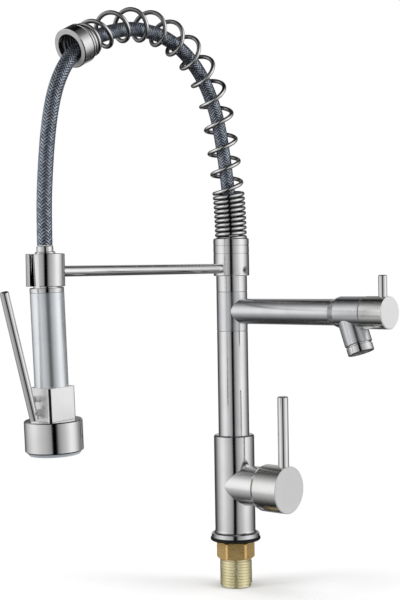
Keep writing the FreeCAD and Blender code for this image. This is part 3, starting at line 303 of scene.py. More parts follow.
def close_tree(tree, shape, material):
    """Shades a shape smooth between its edges, makes it one mesh, dresses it and ends the tree."""
    smooth = add(tree, "GeometryNodeSetShadeSmooth", {"Geometry": shape})
    bend = add(tree, "GeometryNodeInputMeshEdgeAngle").outputs["Unsigned Angle"]
    sharp = add(tree, "FunctionNodeCompare", {0: bend, 1: edge_angle}, operation="GREATER_THAN")
    edged = add(tree, "GeometryNodeSetShadeSmooth", {"Geometry": smooth, "Selection": sharp,
                                                    "Shade Smooth": False}, domain="EDGE")
    whole = add(tree, "GeometryNodeRealizeInstances", {"Geometry": edged})
    dressed = add(tree, "GeometryNodeSetMaterial", {"Geometry": whole, "Material": material})
    add(tree, "NodeGroupOutput", {"Geometry": dressed})


def grown(name, tree, values):
    """Runs a geometry tree with given sizes and keeps the result as a plain mesh piece."""
    holder = bpy.data.objects.new("holder", bpy.data.meshes.new("holder"))
    bpy.context.scene.collection.objects.link(holder)
    modifier = holder.modifiers.new("grow", "NODES")
    modifier.node_group = tree
    for item in tree.interface.items_tree:
        if item.in_out == "INPUT":
            modifier[item.identifier] = values[item.name]
    mesh = bpy.data.meshes.new_from_object(holder.evaluated_get(bpy.context.evaluated_depsgraph_get()))
    holder.modifiers.remove(modifier)
    bpy.data.objects.remove(holder)
    mesh.name = name
    piece = bpy.data.objects.new(name, mesh)
    bpy.context.scene.collection.objects.link(piece)
    return piece


def guide(name, points, kind="POLY"):
    """Curve through or along points, used as a guide only."""
    data = bpy.data.curves.new(name, "CURVE")
    data.dimensions = "3D"
    data.resolution_u = guide_steps
    spline = data.splines.new(kind)
    spline.points.add(len(points) - 1)
    for target, point in zip(spline.points, points):
        target.co = (*point, 1.0)
    if kind == "NURBS":
        spline.order_u = 3
        spline.use_endpoint_u = True
    line = bpy.data.objects.new(name, data)
    bpy.context.scene.collection.objects.link(line)
    return line


# Woven hose

hose_d = 14.0
# Braid: its yarns are drawn coarser than the real ones so that the weave shows
braid_relief = 0.45
braid_yarns, yarns_over = 12.0, 2.0
braid_lay = 3.0
braid_rings, braid_ring_points = 0.36, 96
yarn_seed = 7
# Routes: points forward of the column and up from the deck
hose_arch_route = ((0.0, 316.5), (0.0, 340.0), (5.0, 375.5), (13.5, 419.0), (22.0, 445.5), (36.5, 470.5),
                   (51.0, 486.5), (71.0, 501.0), (95.0, 510.5), (119.5, 514.0), (145.0, 513.5),
                   (170.0, 507.5), (196.0, 498.0), (206.25, 491.5))
hose_drop_route = ((206.25, 491.5), (216.5, 485.0), (233.0, 467.0), (244.5, 443.5), (252.0, 412.0),
                   (256.5, 374.0), (259.0, 339.5), (258.7, 305.8))


def braid_tree():
    """Tube along a guide with two families of yarns in relief, each over and under several of the other."""
    tree, size = new_tree("woven_sleeve", {
        "Route": "Object", "Outer radius": "Float", "Relief": "Float", "Yarns": "Float", "Lay": "Float",
        "Yarns over": "Float", "Ring spacing": "Float", "Ring points": "Int", "Material": "Material"})
    route = add(tree, "GeometryNodeObjectInfo", {"Object": size["Route"]}).outputs["Geometry"]
    rings = add(tree, "GeometryNodeResampleCurve", {"Curve": route, "Length": size["Ring spacing"]},
                mode="LENGTH")
    spline = add(tree, "GeometryNodeSplineParameter").outputs
    along = add(tree, "GeometryNodeStoreNamedAttribute", {"Geometry": rings, "Name": "along",
                                                          "Value": spline["Length"]}, data_type="FLOAT")
    circle = add(tree, "GeometryNodeCurvePrimitiveCircle", {"Resolution": size["Ring points"],
                                                            "Radius": size["Outer radius"]})
    around = add(tree, "GeometryNodeStoreNamedAttribute", {"Geometry": circle, "Name": "around",
                                                           "Value": spline["Factor"]}, data_type="FLOAT")
    tube = add(tree, "GeometryNodeCurveToMesh", {"Curve": along, "Profile Curve": around, "Fill Caps": True})
    length = add(tree, "GeometryNodeInputNamedAttribute", {"Name": "along"}, data_type="FLOAT")
    share = add(tree, "GeometryNodeInputNamedAttribute", {"Name": "around"}, data_type="FLOAT")
    wound = add(tree, "ShaderNodeMath", {0: share, 1: size["Yarns"]}, operation="MULTIPLY")
    laid = add(tree, "ShaderNodeMath", {0: length, 1: size["Lay"]}, operation="DIVIDE")
    yarns = []
    for way in ("ADD", "SUBTRACT"):
        number = add(tree, "ShaderNodeMath", {0: wound, 1: laid}, operation=way)
        whole = add(tree, "ShaderNodeMath", {0: number}, operation="FLOOR")
        across = add(tree, "ShaderNodeMath", {0: number}, operation="FRACT")
        centred = add(tree, "ShaderNodeMath", {0: across, 1: 2.0, 2: -1.0}, operation="MULTIPLY_ADD")
        round_off = add(tree, "ShaderNodeMath", {0: centred, 1: centred}, operation="MULTIPLY")
        crown = add(tree, "ShaderNodeMath", {0: 1.0, 1: round_off}, operation="SUBTRACT")
        yarns.append((whole, crown))
    crossing = add(tree, "ShaderNodeMath", {0: yarns[0][0], 1: yarns[1][0]}, operation="ADD")
    repeat = add(tree, "ShaderNodeMath", {0: size["Yarns over"], 1: 2.0}, operation="MULTIPLY")
    beat = add(tree, "ShaderNodeMath", {0: crossing, 1: repeat}, operation="FLOORED_MODULO")
    last_up = add(tree, "ShaderNodeMath", {0: size["Yarns over"], 1: 0.5}, operation="SUBTRACT")
    first_up = add(tree, "FunctionNodeCompare", {0: beat, 1: last_up}, operation="LESS_THAN")
    height = add(tree, "GeometryNodeSwitch", {"Switch": first_up, "False": yarns[1][1], "True": yarns[0][1]},
                 input_type="FLOAT")
    number = add(tree, "GeometryNodeSwitch", {"Switch": first_up, "False": yarns[1][0], "True": yarns[0][0]},
                 input_type="FLOAT")
    tint = add(tree, "FunctionNodeRandomValue", {"ID": number, "Seed": yarn_seed},
               data_type="FLOAT").outputs[1]
    sunk = add(tree, "ShaderNodeMath", {0: height, 1: 1.0}, operation="SUBTRACT")
    depth = add(tree, "ShaderNodeMath", {0: sunk, 1: size["Relief"]}, operation="MULTIPLY")
    outward = add(tree, "GeometryNodeInputNormal")
    offset = add(tree, "ShaderNodeVectorMath", {0: outward, "Scale": depth}, operation="SCALE")
    high = add(tree, "GeometryNodeStoreNamedAttribute", {"Geometry": tube, "Name": "yarn_height",
                                                         "Value": height}, data_type="FLOAT")
    tinted = add(tree, "GeometryNodeStoreNamedAttribute", {"Geometry": high, "Name": "yarn_tint",
                                                           "Value": tint}, data_type="FLOAT")
    woven = add(tree, "GeometryNodeSetPosition", {"Geometry": tinted, "Offset": offset})
    smooth = add(tree, "GeometryNodeSetShadeSmooth", {"Geometry": woven})
    whole = add(tree, "GeometryNodeRealizeInstances", {"Geometry": smooth})
    dressed = add(tree, "GeometryNodeSetMaterial", {"Geometry": whole, "Material": size["Material"]})
    add(tree, "NodeGroupOutput", {"Geometry": dressed})
    return tree


woven_sleeve = braid_tree()


def woven_hose(name, route):
    """Braided hose along its route, with the points of the smooth line that it follows."""
    line = guide(name + "_line", [(0, -forward * MM, height * MM) for forward, height in route], "NURBS")
    bpy.context.view_layer.update()
    trace = bpy.data.meshes.new_from_object(line.evaluated_get(bpy.context.evaluated_depsgraph_get()))
    path = [vertex.co.copy() for vertex in trace.vertices]
    hose = grown(name, woven_sleeve, {
        "Route": line, "Outer radius": hose_d / 2 * MM, "Relief": braid_relief * MM, "Yarns": braid_yarns,
        "Lay": braid_lay * MM, "Yarns over": yarns_over, "Ring spacing": braid_rings * MM,
        "Ring points": braid_ring_points, "Material": braid})
    bpy.data.meshes.remove(trace)
    bpy.data.objects.remove(line)
    return hose, path


hose_arch, arch_path = woven_hose("woven_hose_arch", hose_arch_route)
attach(hose_arch, "neck")
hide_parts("hose_arch")

hose_drop, drop_path = woven_hose("woven_hose_drop", hose_drop_route)
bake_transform(hose_drop)
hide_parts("hose_drop")


# Wound springs

wire_sides = 16
# How many turns a change of pitch is spread over
pitch_blend = 0.12
# Lean of the wire's surface along the coil, and out from it, between no painted shade and the most
between_turns = (0.45, 0.9)
inside_coil = (0.1, -0.6)
# Share of that painted shade where the turns stand open
open_shade = 0.75


def spring_tree():
    """Round wire wound about a guide: close turns, wider lead turns, open turns and end turns.

    The wire's painted shade, its attribute wire_shade, is 1 where it faces the next turn or the coil's
    inside.
    """
    tree, size = new_tree("wound_spring", {
        "Route": "Object", "Side": "Vector", "Lead in": "Float", "Coil radius": "Float",
        "Wire radius": "Float", "Start angle": "Float", "Turns": "Float", "Close turns": "Float",
        "Open after": "Float", "End after": "Float", "Close pitch": "Float", "Lead pitch": "Float",
        "Open pitch": "Float", "End pitch": "Float", "Tail turns": "Float", "Turn points": "Float",
        "Material": "Material"})
    route = add(tree, "GeometryNodeObjectInfo", {"Object": size["Route"]}).outputs["Geometry"]
    ends = add(tree, "ShaderNodeMath", {0: size["Tail turns"], 1: 2.0, 2: size["Turns"]},
               operation="MULTIPLY_ADD")
    count = add(tree, "ShaderNodeMath", {0: ends, 1: size["Turn points"], 2: 1.0}, operation="MULTIPLY_ADD")
    line = add(tree, "GeometryNodeMeshLine", {"Count": count})
    wire = add(tree, "GeometryNodeMeshToCurve", {"Mesh": line})
    step = add(tree, "ShaderNodeMath", {0: add(tree, "GeometryNodeInputIndex"), 1: size["Turn points"]},
               operation="DIVIDE")
    turns = add(tree, "ShaderNodeMath", {0: step, 1: size["Tail turns"]}, operation="SUBTRACT")
    reach = add(tree, "ShaderNodeMath", {0: turns, 1: size["Close pitch"], 2: size["Lead in"]},
                operation="MULTIPLY_ADD")
    for after, finer, wider in (("Close turns", "Close pitch", "Lead pitch"),
                                ("Open after", "Lead pitch", "Open pitch"),
                                ("End after", "Open pitch", "End pitch")):
        past = add(tree, "ShaderNodeMath", {0: turns, 1: size[after]}, operation="SUBTRACT")
        gone = add(tree, "ShaderNodeMath", {0: past, 1: 0.0, 2: pitch_blend}, operation="SMOOTH_MAX")
        extra = add(tree, "ShaderNodeMath", {0: size[wider], 1: size[finer]}, operation="SUBTRACT")
        reach = add(tree, "ShaderNodeMath", {0: gone, 1: extra, 2: reach}, operation="MULTIPLY_ADD")
    centre = add(tree, "GeometryNodeSampleCurve", {"Curves": route, "Length": reach}, mode="LENGTH",
                 use_all_curves=True).outputs
    angle = add(tree, "ShaderNodeMath", {0: turns, 1: 2 * math.pi, 2: size["Start angle"]},
                operation="MULTIPLY_ADD")
    outward = add(tree, "ShaderNodeVectorMath", {0: centre["Tangent"], 1: size["Side"]},
                  operation="CROSS_PRODUCT")
    place = centre["Position"]
    for wave, way in (("COSINE", size["Side"]), ("SINE", outward)):
        swing = add(tree, "ShaderNodeMath", {0: angle}, operation=wave)
        throw = add(tree, "ShaderNodeMath", {0: swing, 1: size["Coil radius"]}, operation="MULTIPLY")
        shift = add(tree, "ShaderNodeVectorMath", {0: way, "Scale": throw}, operation="SCALE")
        place = add(tree, "ShaderNodeVectorMath", {0: place, 1: shift}, operation="ADD")
    wound = add(tree, "GeometryNodeSetPosition", {"Geometry": wire, "Position": place})
    thrown = add(tree, "ShaderNodeVectorMath", {0: place, 1: centre["Position"]}, operation="SUBTRACT")
    away = add(tree, "ShaderNodeVectorMath", {0: thrown}, operation="NORMALIZE")
    for label, way in (("coil_axis", centre["Tangent"]), ("coil_out", away)):
        wound = add(tree, "GeometryNodeStoreNamedAttribute", {"Geometry": wound, "Name": label, "Value": way},
                    data_type="FLOAT_VECTOR")
    spread = add(tree, "ShaderNodeMath", {0: turns, 1: size["Close turns"]}, operation="GREATER_THAN")
    depth = add(tree, "ShaderNodeMapRange", {"Value": spread, "To Min": 1.0, "To Max": open_shade})
    wound = add(tree, "GeometryNodeStoreNamedAttribute", {"Geometry": wound, "Name": "coil_close",
                                                          "Value": depth}, data_type="FLOAT")
    circle = add(tree, "GeometryNodeCurvePrimitiveCircle", {"Resolution": wire_sides,
                                                            "Radius": size["Wire radius"]})
    tube = add(tree, "GeometryNodeCurveToMesh", {"Curve": wound, "Profile Curve": circle, "Fill Caps": True})
    normal = add(tree, "GeometryNodeInputNormal")
    leans = []
    for label in ("coil_axis", "coil_out"):
        way = add(tree, "GeometryNodeInputNamedAttribute", {"Name": label}, data_type="FLOAT_VECTOR")
        lean = add(tree, "ShaderNodeVectorMath", {0: normal, 1: way}, operation="DOT_PRODUCT")
        leans.append(lean.outputs["Value"])
    sideways = add(tree, "ShaderNodeMath", {0: leans[0]}, operation="ABSOLUTE")
    between = add(tree, "ShaderNodeMapRange", {"Value": sideways, "From Min": between_turns[0],
                                               "From Max": between_turns[1]},
                  interpolation_type="SMOOTHSTEP")
    inside = add(tree, "ShaderNodeMapRange", {"Value": leans[1], "From Min": inside_coil[0],
                                              "From Max": inside_coil[1]})
    dark = add(tree, "ShaderNodeMath", {0: between, 1: inside}, operation="MAXIMUM")
    close = add(tree, "GeometryNodeInputNamedAttribute", {"Name": "coil_close"}, data_type="FLOAT")
    shade = add(tree, "ShaderNodeMath", {0: dark, 1: close}, operation="MULTIPLY")
    # wire_shade is the share of painted shade that the wire's tone takes
    shaded = add(tree, "GeometryNodeStoreNamedAttribute", {"Geometry": tube, "Name": "wire_shade",
                                                           "Value": shade}, data_type="FLOAT")
    close_tree(tree, shaded, size["Material"])
    return tree


wound_spring = spring_tree()

# Neck spring: its guide is the row of tangent bends that the solid's spring is wound about
spring_wire = 4.3
spring_od = 33.4
spring_foot = 313.05
spring_lead_in = 4.0
spring_close_turns, spring_close_pitch = 10.0, 4.9
spring_lead_turns, spring_lead_pitch = 2.25, 21.8
spring_open_turns = 10.25
spring_end_turns, spring_end_pitch = 4.0, 4.6
spring_start_angle = 255
spring_tail = 0.04
neck_turn_points, plunger_turn_points = 50.0, 24.0
# Bends of the arch: radius and degrees
arch_bends = ((380.0, 9), (900.0, 4), (105.0, 34), (115.0, 41), (130.0, 28))
arch_run = 29.0
steps_per_degree = 10
collar_depth, collar_front = 12.0, 4.0


def arch_line():
    """Points along the arch, its length from the spring's foot and the way that its end points."""
    point = Vector((0, 0, spring_foot - spring_lead_in))
    points = [point.copy()]
    point.z = spring_foot
    points.append(point.copy())
    lean = 0.0
    length = 0.0
    step = math.radians(1 / steps_per_degree)
    for radius, degrees in arch_bends:
        for _ in range(steps_per_degree * degrees):
            chord = 2 * radius * math.sin(step / 2)
            middle = lean + step / 2
            point += Vector((0, -math.sin(middle), math.cos(middle))) * chord
            points.append(point.copy())
            lean += step
            length += radius * step
    straight = arch_run + collar_depth
    end_way = Vector((0, -math.sin(lean), math.cos(lean)))
    points.append(point + end_way * straight)
    return [p * MM for p in points], length + straight, end_way


arch_points, arch_length, collar_way = arch_line()
spring_total = arch_length - spring_wire
spring_wound = spring_close_turns * spring_close_pitch + spring_lead_turns * spring_lead_pitch
spring_open_pitch = (spring_total - spring_wound) / spring_open_turns
spring_open_after = spring_close_turns + spring_lead_turns
spring_end_share = spring_end_turns * spring_end_pitch / spring_open_pitch
spring_end_after = spring_open_after + spring_open_turns - spring_end_share
arch_guide = guide("arch_guide", arch_points)
neck_spring = grown("neck_spring_wire", wound_spring, {
    "Route": arch_guide, "Side": (1.0, 0.0, 0.0), "Lead in": spring_lead_in * MM,
    "Coil radius": (spring_od - spring_wire) / 2 * MM, "Wire radius": spring_wire / 2 * MM,
    "Start angle": math.radians(spring_start_angle), "Turns": spring_end_after + spring_end_turns,
    "Close turns": spring_close_turns, "Open after": spring_open_after, "End after": spring_end_after,
    "Close pitch": spring_close_pitch * MM, "Lead pitch": spring_lead_pitch * MM,
    "Open pitch": spring_open_pitch * MM, "End pitch": spring_end_pitch * MM,
    "Tail turns": spring_tail, "Turn points": neck_turn_points, "Material": wire_chrome})
bpy.data.objects.remove(arch_guide)
# Polished nickel plate of the collar at the spring's end, mirror-like but for its faced end
face_skin = 0.1
collar_face = arch_points[-1].dot(collar_way) + (collar_front - face_skin) * MM
collar_polish = metal("polished_nickel_collar", "#e9e9e9", "#e2e2e2", (0.07, 0.12), 0.8, "Y",
                      end_face=(collar_way, collar_face, "#e2e2e2", faced_rough, faced_metallic))
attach(neck_spring, "neck")
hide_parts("neck_spring")

# Spray head: it hangs turned and leaning a little in its clip
head_place, head_tilt, head_twist = Vector((0, -258.5, 298.6)), 2.3, -3
head_turn = (Matrix.Translation(head_place * MM) @ Matrix.Rotation(math.radians(head_tilt), 4, "X")
             @ Matrix.Rotation(math.radians(head_twist), 4, "Z"))


def polish_corners_painted_dark(finish, place, start, tone, rough):
    """Polishes the upright corners of a square bar that stands at place, from a distance out on both axes.

    A polished corner mirrors the dark cloth round the object, and its near-black tone is a painted dark
    reflection, darker than the sides'.
    """
    tree = finish.node_tree
    shader = next(node for node in tree.nodes if node.type == "BSDF_PRINCIPLED")
    coords = add(tree, "ShaderNodeTexCoord").outputs["Object"]
    local = add(tree, "ShaderNodeMapping", {"Vector": coords, "Location": place.to_translation(),
                                            "Rotation": place.to_euler()}, vector_type="TEXTURE")
    apart = add(tree, "ShaderNodeSeparateXYZ", {0: local}).outputs
    sides = [add(tree, "ShaderNodeMath", {0: apart[axis]}, operation="ABSOLUTE") for axis in "XY"]
    least = add(tree, "ShaderNodeMath", {0: sides[0], 1: sides[1]}, operation="MINIMUM")
    corner = add(tree, "ShaderNodeMath", {0: least, 1: start}, operation="GREATER_THAN")
    plain = {name: shader.inputs[name].links[0].from_socket for name in ("Base Color", "Roughness")}
    base = add(tree, "ShaderNodeMix", {0: corner, 6: plain["Base Color"], 7: colour(tone)},
               data_type="RGBA")
    smooth = add(tree, "ShaderNodeMix", {0: corner, 2: plain["Roughness"], 3: rough})
    plate = add(tree, "ShaderNodeMapRange", {"Value": corner,
                                             "To Min": shader.inputs["Metallic"].default_value})
    tree.links.new(base.outputs[2], shader.inputs["Base Color"])
    tree.links.new(smooth.outputs[0], shader.inputs["Roughness"])
    tree.links.new(plate.outputs[0], shader.inputs["Metallic"])


block_side, polish_depth = 30.4, 1.9
# Upright corners of the block: a real polish, and a painted dark reflection in their tone
polish_corners_painted_dark(block_satin, head_turn, (block_side / 2 - polish_depth) * MM, "#3c3c3c", 0.05)

# Plunger spring, inside the spray's valve block
plunger_height = -128.92
plunger_spring_r, plunger_wire_r = 2.9, 0.4
plunger_spring_start, plunger_spring_turns, plunger_spring_pitch = -3.3, 5.0, 1.7
plunger_spring_lead_in = 1.0
plunger_run = [plunger_spring_start - plunger_spring_lead_in,
               plunger_spring_start + plunger_spring_turns * plunger_spring_pitch + plunger_spring_lead_in]
plunger_guide = guide("plunger_guide",
                      [head_turn @ (Vector((0, y, plunger_height)) * MM) for y in plunger_run])
plunger_spring = grown("plunger_spring_wire", wound_spring, {
    "Route": plunger_guide, "Side": head_turn.to_3x3() @ up, "Lead in": plunger_spring_lead_in * MM,
    "Coil radius": plunger_spring_r * MM, "Wire radius": plunger_wire_r * MM, "Start angle": 0.0,
    "Turns": plunger_spring_turns, "Close turns": plunger_spring_turns,
    "Open after": plunger_spring_turns, "End after": plunger_spring_turns,
    "Close pitch": plunger_spring_pitch * MM, "Lead pitch": plunger_spring_pitch * MM,
    "Open pitch": plunger_spring_pitch * MM, "End pitch": plunger_spring_pitch * MM,
    "Tail turns": spring_tail, "Turn points": plunger_turn_points, "Material": steel})
bpy.data.objects.remove(plunger_guide)
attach(plunger_spring, "spray_head")
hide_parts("plunger_spring")


# Threaded shank

shank_crest_r, shank_root_r, shank_bore_r = 16.6, 15.4, 13.0
thread_pitch = 3.0
thread_top, thread_foot = -20.5, -46.5
# Width of the thread's ridge at its base and at its crest, as shares of the pitch
thread_base, thread_crest = 0.98, 0.66
tube_sides, thread_turn_points = 128, 96


def thread_tree():
    """Tube with a flat-topped thread ridge wound round its outside."""
    tree, size = new_tree("threaded_tube", {
        "Crest radius": "Float", "Root radius": "Float", "Bore radius": "Float", "Foot": "Float",
        "Top": "Float", "Thread foot": "Float", "Thread turns": "Float", "Pitch": "Float",
        "Material": "Material"})
    wall = add(tree, "ShaderNodeMath", {0: size["Root radius"], 1: size["Bore radius"]},
               operation="SUBTRACT")
    middle = add(tree, "ShaderNodeMath", {0: wall, 1: 0.5, 2: size["Bore radius"]},
                 operation="MULTIPLY_ADD")
    height = add(tree, "ShaderNodeMath", {0: size["Top"], 1: size["Foot"]}, operation="SUBTRACT")
    half_way = add(tree, "ShaderNodeMath", {0: height, 1: 0.5, 2: size["Foot"]}, operation="MULTIPLY_ADD")
    loop = add(tree, "GeometryNodeCurvePrimitiveCircle", {"Resolution": tube_sides, "Radius": middle})
    section = add(tree, "GeometryNodeCurvePrimitiveQuadrilateral", {"Width": wall, "Height": height})
    tube = add(tree, "GeometryNodeCurveToMesh", {"Curve": loop, "Profile Curve": section})
    lift = add(tree, "ShaderNodeCombineXYZ", {"Z": half_way})
    raised = add(tree, "GeometryNodeTransform", {"Geometry": tube, "Translation": lift})
    depth = add(tree, "ShaderNodeMath", {0: size["Crest radius"], 1: size["Root radius"]},
                operation="SUBTRACT")
    ridge_r = add(tree, "ShaderNodeMath", {0: depth, 1: 0.5, 2: size["Root radius"]},
                  operation="MULTIPLY_ADD")
    climb = add(tree, "ShaderNodeMath", {0: size["Pitch"], 1: size["Thread turns"]}, operation="MULTIPLY")
    spiral = add(tree, "GeometryNodeCurveSpiral", {"Resolution": thread_turn_points,
                                                   "Rotations": size["Thread turns"],
                                                   "Start Radius": ridge_r, "End Radius": ridge_r,
                                                   "Height": climb})
    upright = add(tree, "GeometryNodeSetCurveNormal", {"Curve": spiral}, mode="Z_UP")
    base = add(tree, "ShaderNodeMath", {0: size["Pitch"], 1: thread_base}, operation="MULTIPLY")
    crest = add(tree, "ShaderNodeMath", {0: size["Pitch"], 1: thread_crest}, operation="MULTIPLY")
    ridge = add(tree, "GeometryNodeCurvePrimitiveQuadrilateral",
                {"Bottom Width": base, "Top Width": crest, "Offset": 0.0, "Height": depth},
                mode="TRAPEZOID")
    sideways = add(tree, "GeometryNodeTransform", {"Geometry": ridge,
                                                   "Rotation": (0.0, 0.0, math.radians(90))})
    wound = add(tree, "GeometryNodeCurveToMesh", {"Curve": upright, "Profile Curve": sideways,
                                                  "Fill Caps": True})
    foot = add(tree, "ShaderNodeCombineXYZ", {"Z": size["Thread foot"]})
    thread = add(tree, "GeometryNodeTransform", {"Geometry": wound, "Translation": foot})
    both = add(tree, "GeometryNodeJoinGeometry")
    tree.links.new(raised.outputs[0], both.inputs[0])
    tree.links.new(thread.outputs[0], both.inputs[0])
    close_tree(tree, both.outputs[0], size["Material"])
    return tree


shank_low, shank_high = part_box("shank")
shank = grown("threaded_shank", thread_tree(), {
    "Crest radius": shank_crest_r * MM, "Root radius": shank_root_r * MM, "Bore radius": shank_bore_r * MM,
    "Foot": shank_low.z, "Top": shank_high.z, "Thread foot": thread_foot * MM,
    "Thread turns": (thread_top - thread_foot) / thread_pitch, "Pitch": thread_pitch * MM,
    "Material": shank_brass})
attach(shank, "base")
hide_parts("shank")


# Finishes of the solids that stay

finish_of = {
    body_nickel: ("mixer_body",),
    column_nickel: ("base_ring", "riser_tube", "upper_tube", "dock_sleeve", "neck_ring",
                    "spring_seat", "spray_neck", "core_pipe", "retaining_nut", "hose_nut", "bonnet_nut"),
    arm_nickel: ("swivel_tee", "valve_body"),
    upright_polish: ("handle_lever", "knob_pin", "spray_lever", "grip_ring", "nozzle_collar", "hose_ferrule",
                     "dock_clip", "aerator_housing"),
    block_satin: ("valve_block",),
    tumbled_zinc: ("lever_lug", "plunger"),
    cap_polish: ("handle_cap",),
    knob_polish: ("valve_knob",),
    rod_polish: ("dock_rod",),
    collar_polish: ("end_collar",),
    grip_silver: ("grip_tube",),
    nut_brass: ("mounting_nut", "inner_tube", "valve_spindle"),
    steel: ("cartridge_spindle", "stem_pin", "cartridge_stem", "handle_grub_screw", "knob_grub_screw",
            "dock_set_screw", "lever_pin"),
    rubber: ("base_gasket", "cartridge_seals", "riser_seal", "swivel_seals", "aerator_washer"),
    valve_plastic: ("cartridge_body", "valve_cartridge"),
    shaded_insert_plastic: ("aerator_insert",),
    plate_plastic: ("face_plate",),
    silicone: ("nozzle_set",),
}
for finish, names in finish_of.items():
    for name in names:
        nodes[name].data.materials.clear()
        nodes[name].data.materials.append(finish)


# Stage: a pale floor that fades into the white background, and a studio tent that only reflections see

# In metres: the floor's size, how far it lies below the object and where it fades, and the tent's size
floor_radius, floor_drop = 1.2, 0.0005
floor_fade = (0.1, 0.5)
tent_radius = 1.0


def floor_finish():
    """Matt white paint, fading out far from the object so that no horizon shows."""
    finish = bpy.data.materials.new("matt_white_floor")
    finish.use_nodes = True
    tree = finish.node_tree
    tree.nodes.clear()
    coords = add(tree, "ShaderNodeTexCoord").outputs["Object"]
    distance = add(tree, "ShaderNodeVectorMath", {0: coords}, operation="LENGTH").outputs["Value"]
    fade = add(tree, "ShaderNodeMapRange", {"Value": distance, "From Min": floor_fade[0],
                                            "From Max": floor_fade[1]}, interpolation_type="SMOOTHSTEP")
    paint = add(tree, "ShaderNodeBsdfDiffuse", {"Color": colour("#fafafa")})
    clear = add(tree, "ShaderNodeBsdfTransparent")
    mix = add(tree, "ShaderNodeMixShader", {0: fade, 1: paint, 2: clear})
    add(tree, "ShaderNodeOutputMaterial", {"Surface": mix})
    return finish


def disc(name, radius, z, finish):
    """Flat round plate at a height."""
    shape = bmesh.new()
    bmesh.ops.create_circle(shape, cap_ends=True, segments=64, radius=radius)
    mesh = bpy.data.meshes.new(name)
    shape.to_mesh(mesh)
    shape.free()
    mesh.materials.append(finish)
    plate = bpy.data.objects.new(name, mesh)
    plate.location.z = z
    bpy.context.scene.collection.objects.link(plate)
    return plate


floor = disc("floor", floor_radius, cad_box[0][2] - floor_drop, floor_finish())
floor.visible_glossy = False

# Brightness of the tent's cloth at angles from the camera, to its left and to its right: the dark slot
# that the camera looks through, grey wings, a tall softbox, dark cloth, and a narrow panel far behind
tent_left = ((8, 0.0), (10, 0.06), (13, 0.3), (22, 0.45), (28, 0.53), (40, 0.66), (52, 0.82), (59, 0.94),
             (70, 1.02), (80, 0.97), (94, 0.77), (112, 0.45), (124, 0.22), (140, 0.07), (158, 0.06))
tent_right = ((2, 0.0), (6, 0.1), (11, 0.3), (23, 0.49), (34, 0.61), (44, 0.76), (52, 0.9), (60, 1.03),
              (70, 1.06), (80, 0.99), (88, 0.86), (104, 0.55), (118, 0.29), (138, 0.07), (158, 0.06))
# Share of that brightness by the sine of a reflection's fall (-) or rise, and the extra share that a low
# card in front of the object gives to what falls beyond its upper edge
tent_heights = ((-1.0, 0.0), (-0.82, 0.03), (-0.74, 0.09), (-0.68, 0.17), (-0.6, 0.26), (-0.52, 0.33),
                (-0.41, 0.42), (-0.29, 0.51), (-0.19, 0.77), (-0.14, 0.89), (-0.09, 0.96), (0.0, 1.0),
                (0.1, 1.03), (0.34, 1.0), (0.41, 0.93), (0.52, 0.76), (0.6, 0.62), (0.68, 0.49),
                (0.74, 0.37), (0.82, 0.19), (1.0, 0.02))
card_edge, card_share = 0.08, 2.5
tent_back = 0.55


def level_ramp(tree, place, stops):
    """Colour ramp of grey levels."""
    ramp = add(tree, "ShaderNodeValToRGB", {"Fac": place})
    marks = ramp.color_ramp.elements
    for mark, (position, level) in zip(marks, (stops[0], stops[-1])):
        mark.position = position
        mark.color = (level, level, level, 1)
    for position, level in stops[1:-1]:
        marks.new(position).color = (level, level, level, 1)
    return ramp


def tent_finish():
    """White tent cloth lit from outside: its panels glow and give the metal its bright and dark bands."""
    finish = bpy.data.materials.new("tent_cloth")
    finish.use_nodes = True
    finish.cycles.emission_sampling = "NONE"
    tree = finish.node_tree
    tree.nodes.clear()
    coords = add(tree, "ShaderNodeTexCoord").outputs["Object"]
    around = add(tree, "ShaderNodeTexGradient", {"Vector": coords}, gradient_type="RADIAL").outputs["Fac"]
    panels = [(0.0, tent_back)] + [(0.5 - angle / 360, level) for angle, level in reversed(tent_left)]
    panels += [(0.5 + angle / 360, level) for angle, level in tent_right] + [(1.0, tent_back)]
    level = level_ramp(tree, around, panels)
    # A reflection's own way to the cloth, so that every height of the object mirrors the same panels
    ray = add(tree, "ShaderNodeNewGeometry").outputs["Incoming"]
    fall = add(tree, "ShaderNodeSeparateXYZ", {0: ray}).outputs["Z"]
    height = add(tree, "ShaderNodeMath", {0: fall, 1: -0.5, 2: 0.5}, operation="MULTIPLY_ADD")
    share = level_ramp(tree, height, [(sine / 2 + 0.5, level) for sine, level in tent_heights])
    spot = add(tree, "ShaderNodeVectorMath", {0: coords}, operation="NORMALIZE")
    front = add(tree, "ShaderNodeSeparateXYZ", {0: spot})
    facing = add(tree, "ShaderNodeMath", {0: front, 1: 0.0}, operation="MAXIMUM")
    below = add(tree, "ShaderNodeMath", {0: fall, 1: card_edge}, operation="SUBTRACT")
    lower = add(tree, "ShaderNodeMath", {0: below, 1: 0.0}, operation="MAXIMUM")
    card = add(tree, "ShaderNodeMath", {0: facing, 1: lower}, operation="MULTIPLY")
    gain = add(tree, "ShaderNodeMath", {0: card, 1: card_share, 2: 1.0}, operation="MULTIPLY_ADD")
    share = add(tree, "ShaderNodeMath", {0: share, 1: gain}, operation="MULTIPLY")
    glow = add(tree, "ShaderNodeEmission", {"Color": level, "Strength": share})
    add(tree, "ShaderNodeOutputMaterial", {"Surface": glow})
    return finish


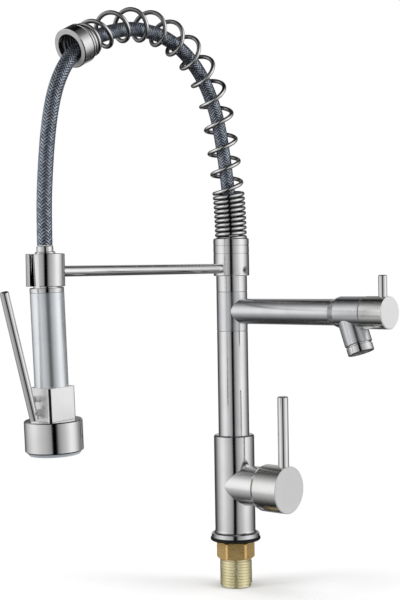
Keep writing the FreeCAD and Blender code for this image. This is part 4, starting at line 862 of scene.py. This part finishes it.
def studio_tent(radius):
    """Closed sphere of cloth round the object."""
    shape = bmesh.new()
    bmesh.ops.create_uvsphere(shape, u_segments=96, v_segments=48, radius=radius)
    mesh = bpy.data.meshes.new("studio_tent")
    shape.to_mesh(mesh)
    shape.free()
    mesh.materials.append(tent_finish())
    tent = bpy.data.objects.new("studio_tent", mesh)
    tent.rotation_euler.z = math.atan2(towards_camera.y, towards_camera.x)
    tent.location.z = view_height
    tent.visible_camera = tent.visible_diffuse = tent.visible_shadow = False
    tent.visible_transmission = tent.visible_volume_scatter = False
    bpy.context.scene.collection.objects.link(tent)
    return tent


studio_tent(tent_radius)

# Lamps, in metres: angle from the camera, rise, power and size
lamp_distance = 2.2
for name, angle, rise, watts, size in (("left_softbox", -68, 35, 16, 0.9), ("right_softbox", 68, 35, 16, 0.9),
                                       ("top_softbox", 0, 85, 22, 1.4)):
    lamp = bpy.data.lights.new(name, "AREA")
    lamp.size = size
    lamp.energy = watts
    holder = bpy.data.objects.new(name, lamp)
    way = Matrix.Rotation(math.radians(angle), 3, "Z") @ towards_camera * math.cos(math.radians(rise))
    way += up * math.sin(math.radians(rise))
    holder.location = way * lamp_distance + up * view_height
    holder.rotation_euler = way.to_track_quat("Z", "Y").to_euler()
    holder.visible_glossy = False
    bpy.context.scene.collection.objects.link(holder)

# White room: full white to the camera and in reflections, and a softer fill for the rest
room_fill = 0.5
world = bpy.data.worlds.new("white_studio")
world.use_nodes = True
bpy.context.scene.world = world
world.node_tree.nodes.clear()
rays = add(world.node_tree, "ShaderNodeLightPath").outputs
seen = rays["Is Camera Ray"]
for kind in ("Is Glossy Ray", "Is Transmission Ray"):
    seen = add(world.node_tree, "ShaderNodeMath", {0: seen, 1: rays[kind]}, operation="MAXIMUM")
level = add(world.node_tree, "ShaderNodeMapRange", {"Value": seen, "To Min": room_fill, "To Max": 1.0})
sky = add(world.node_tree, "ShaderNodeBackground", {"Color": (1, 1, 1, 1), "Strength": level})
add(world.node_tree, "ShaderNodeOutputWorld", {"Surface": sky})
bpy.context.scene.view_settings.view_transform = "Standard"
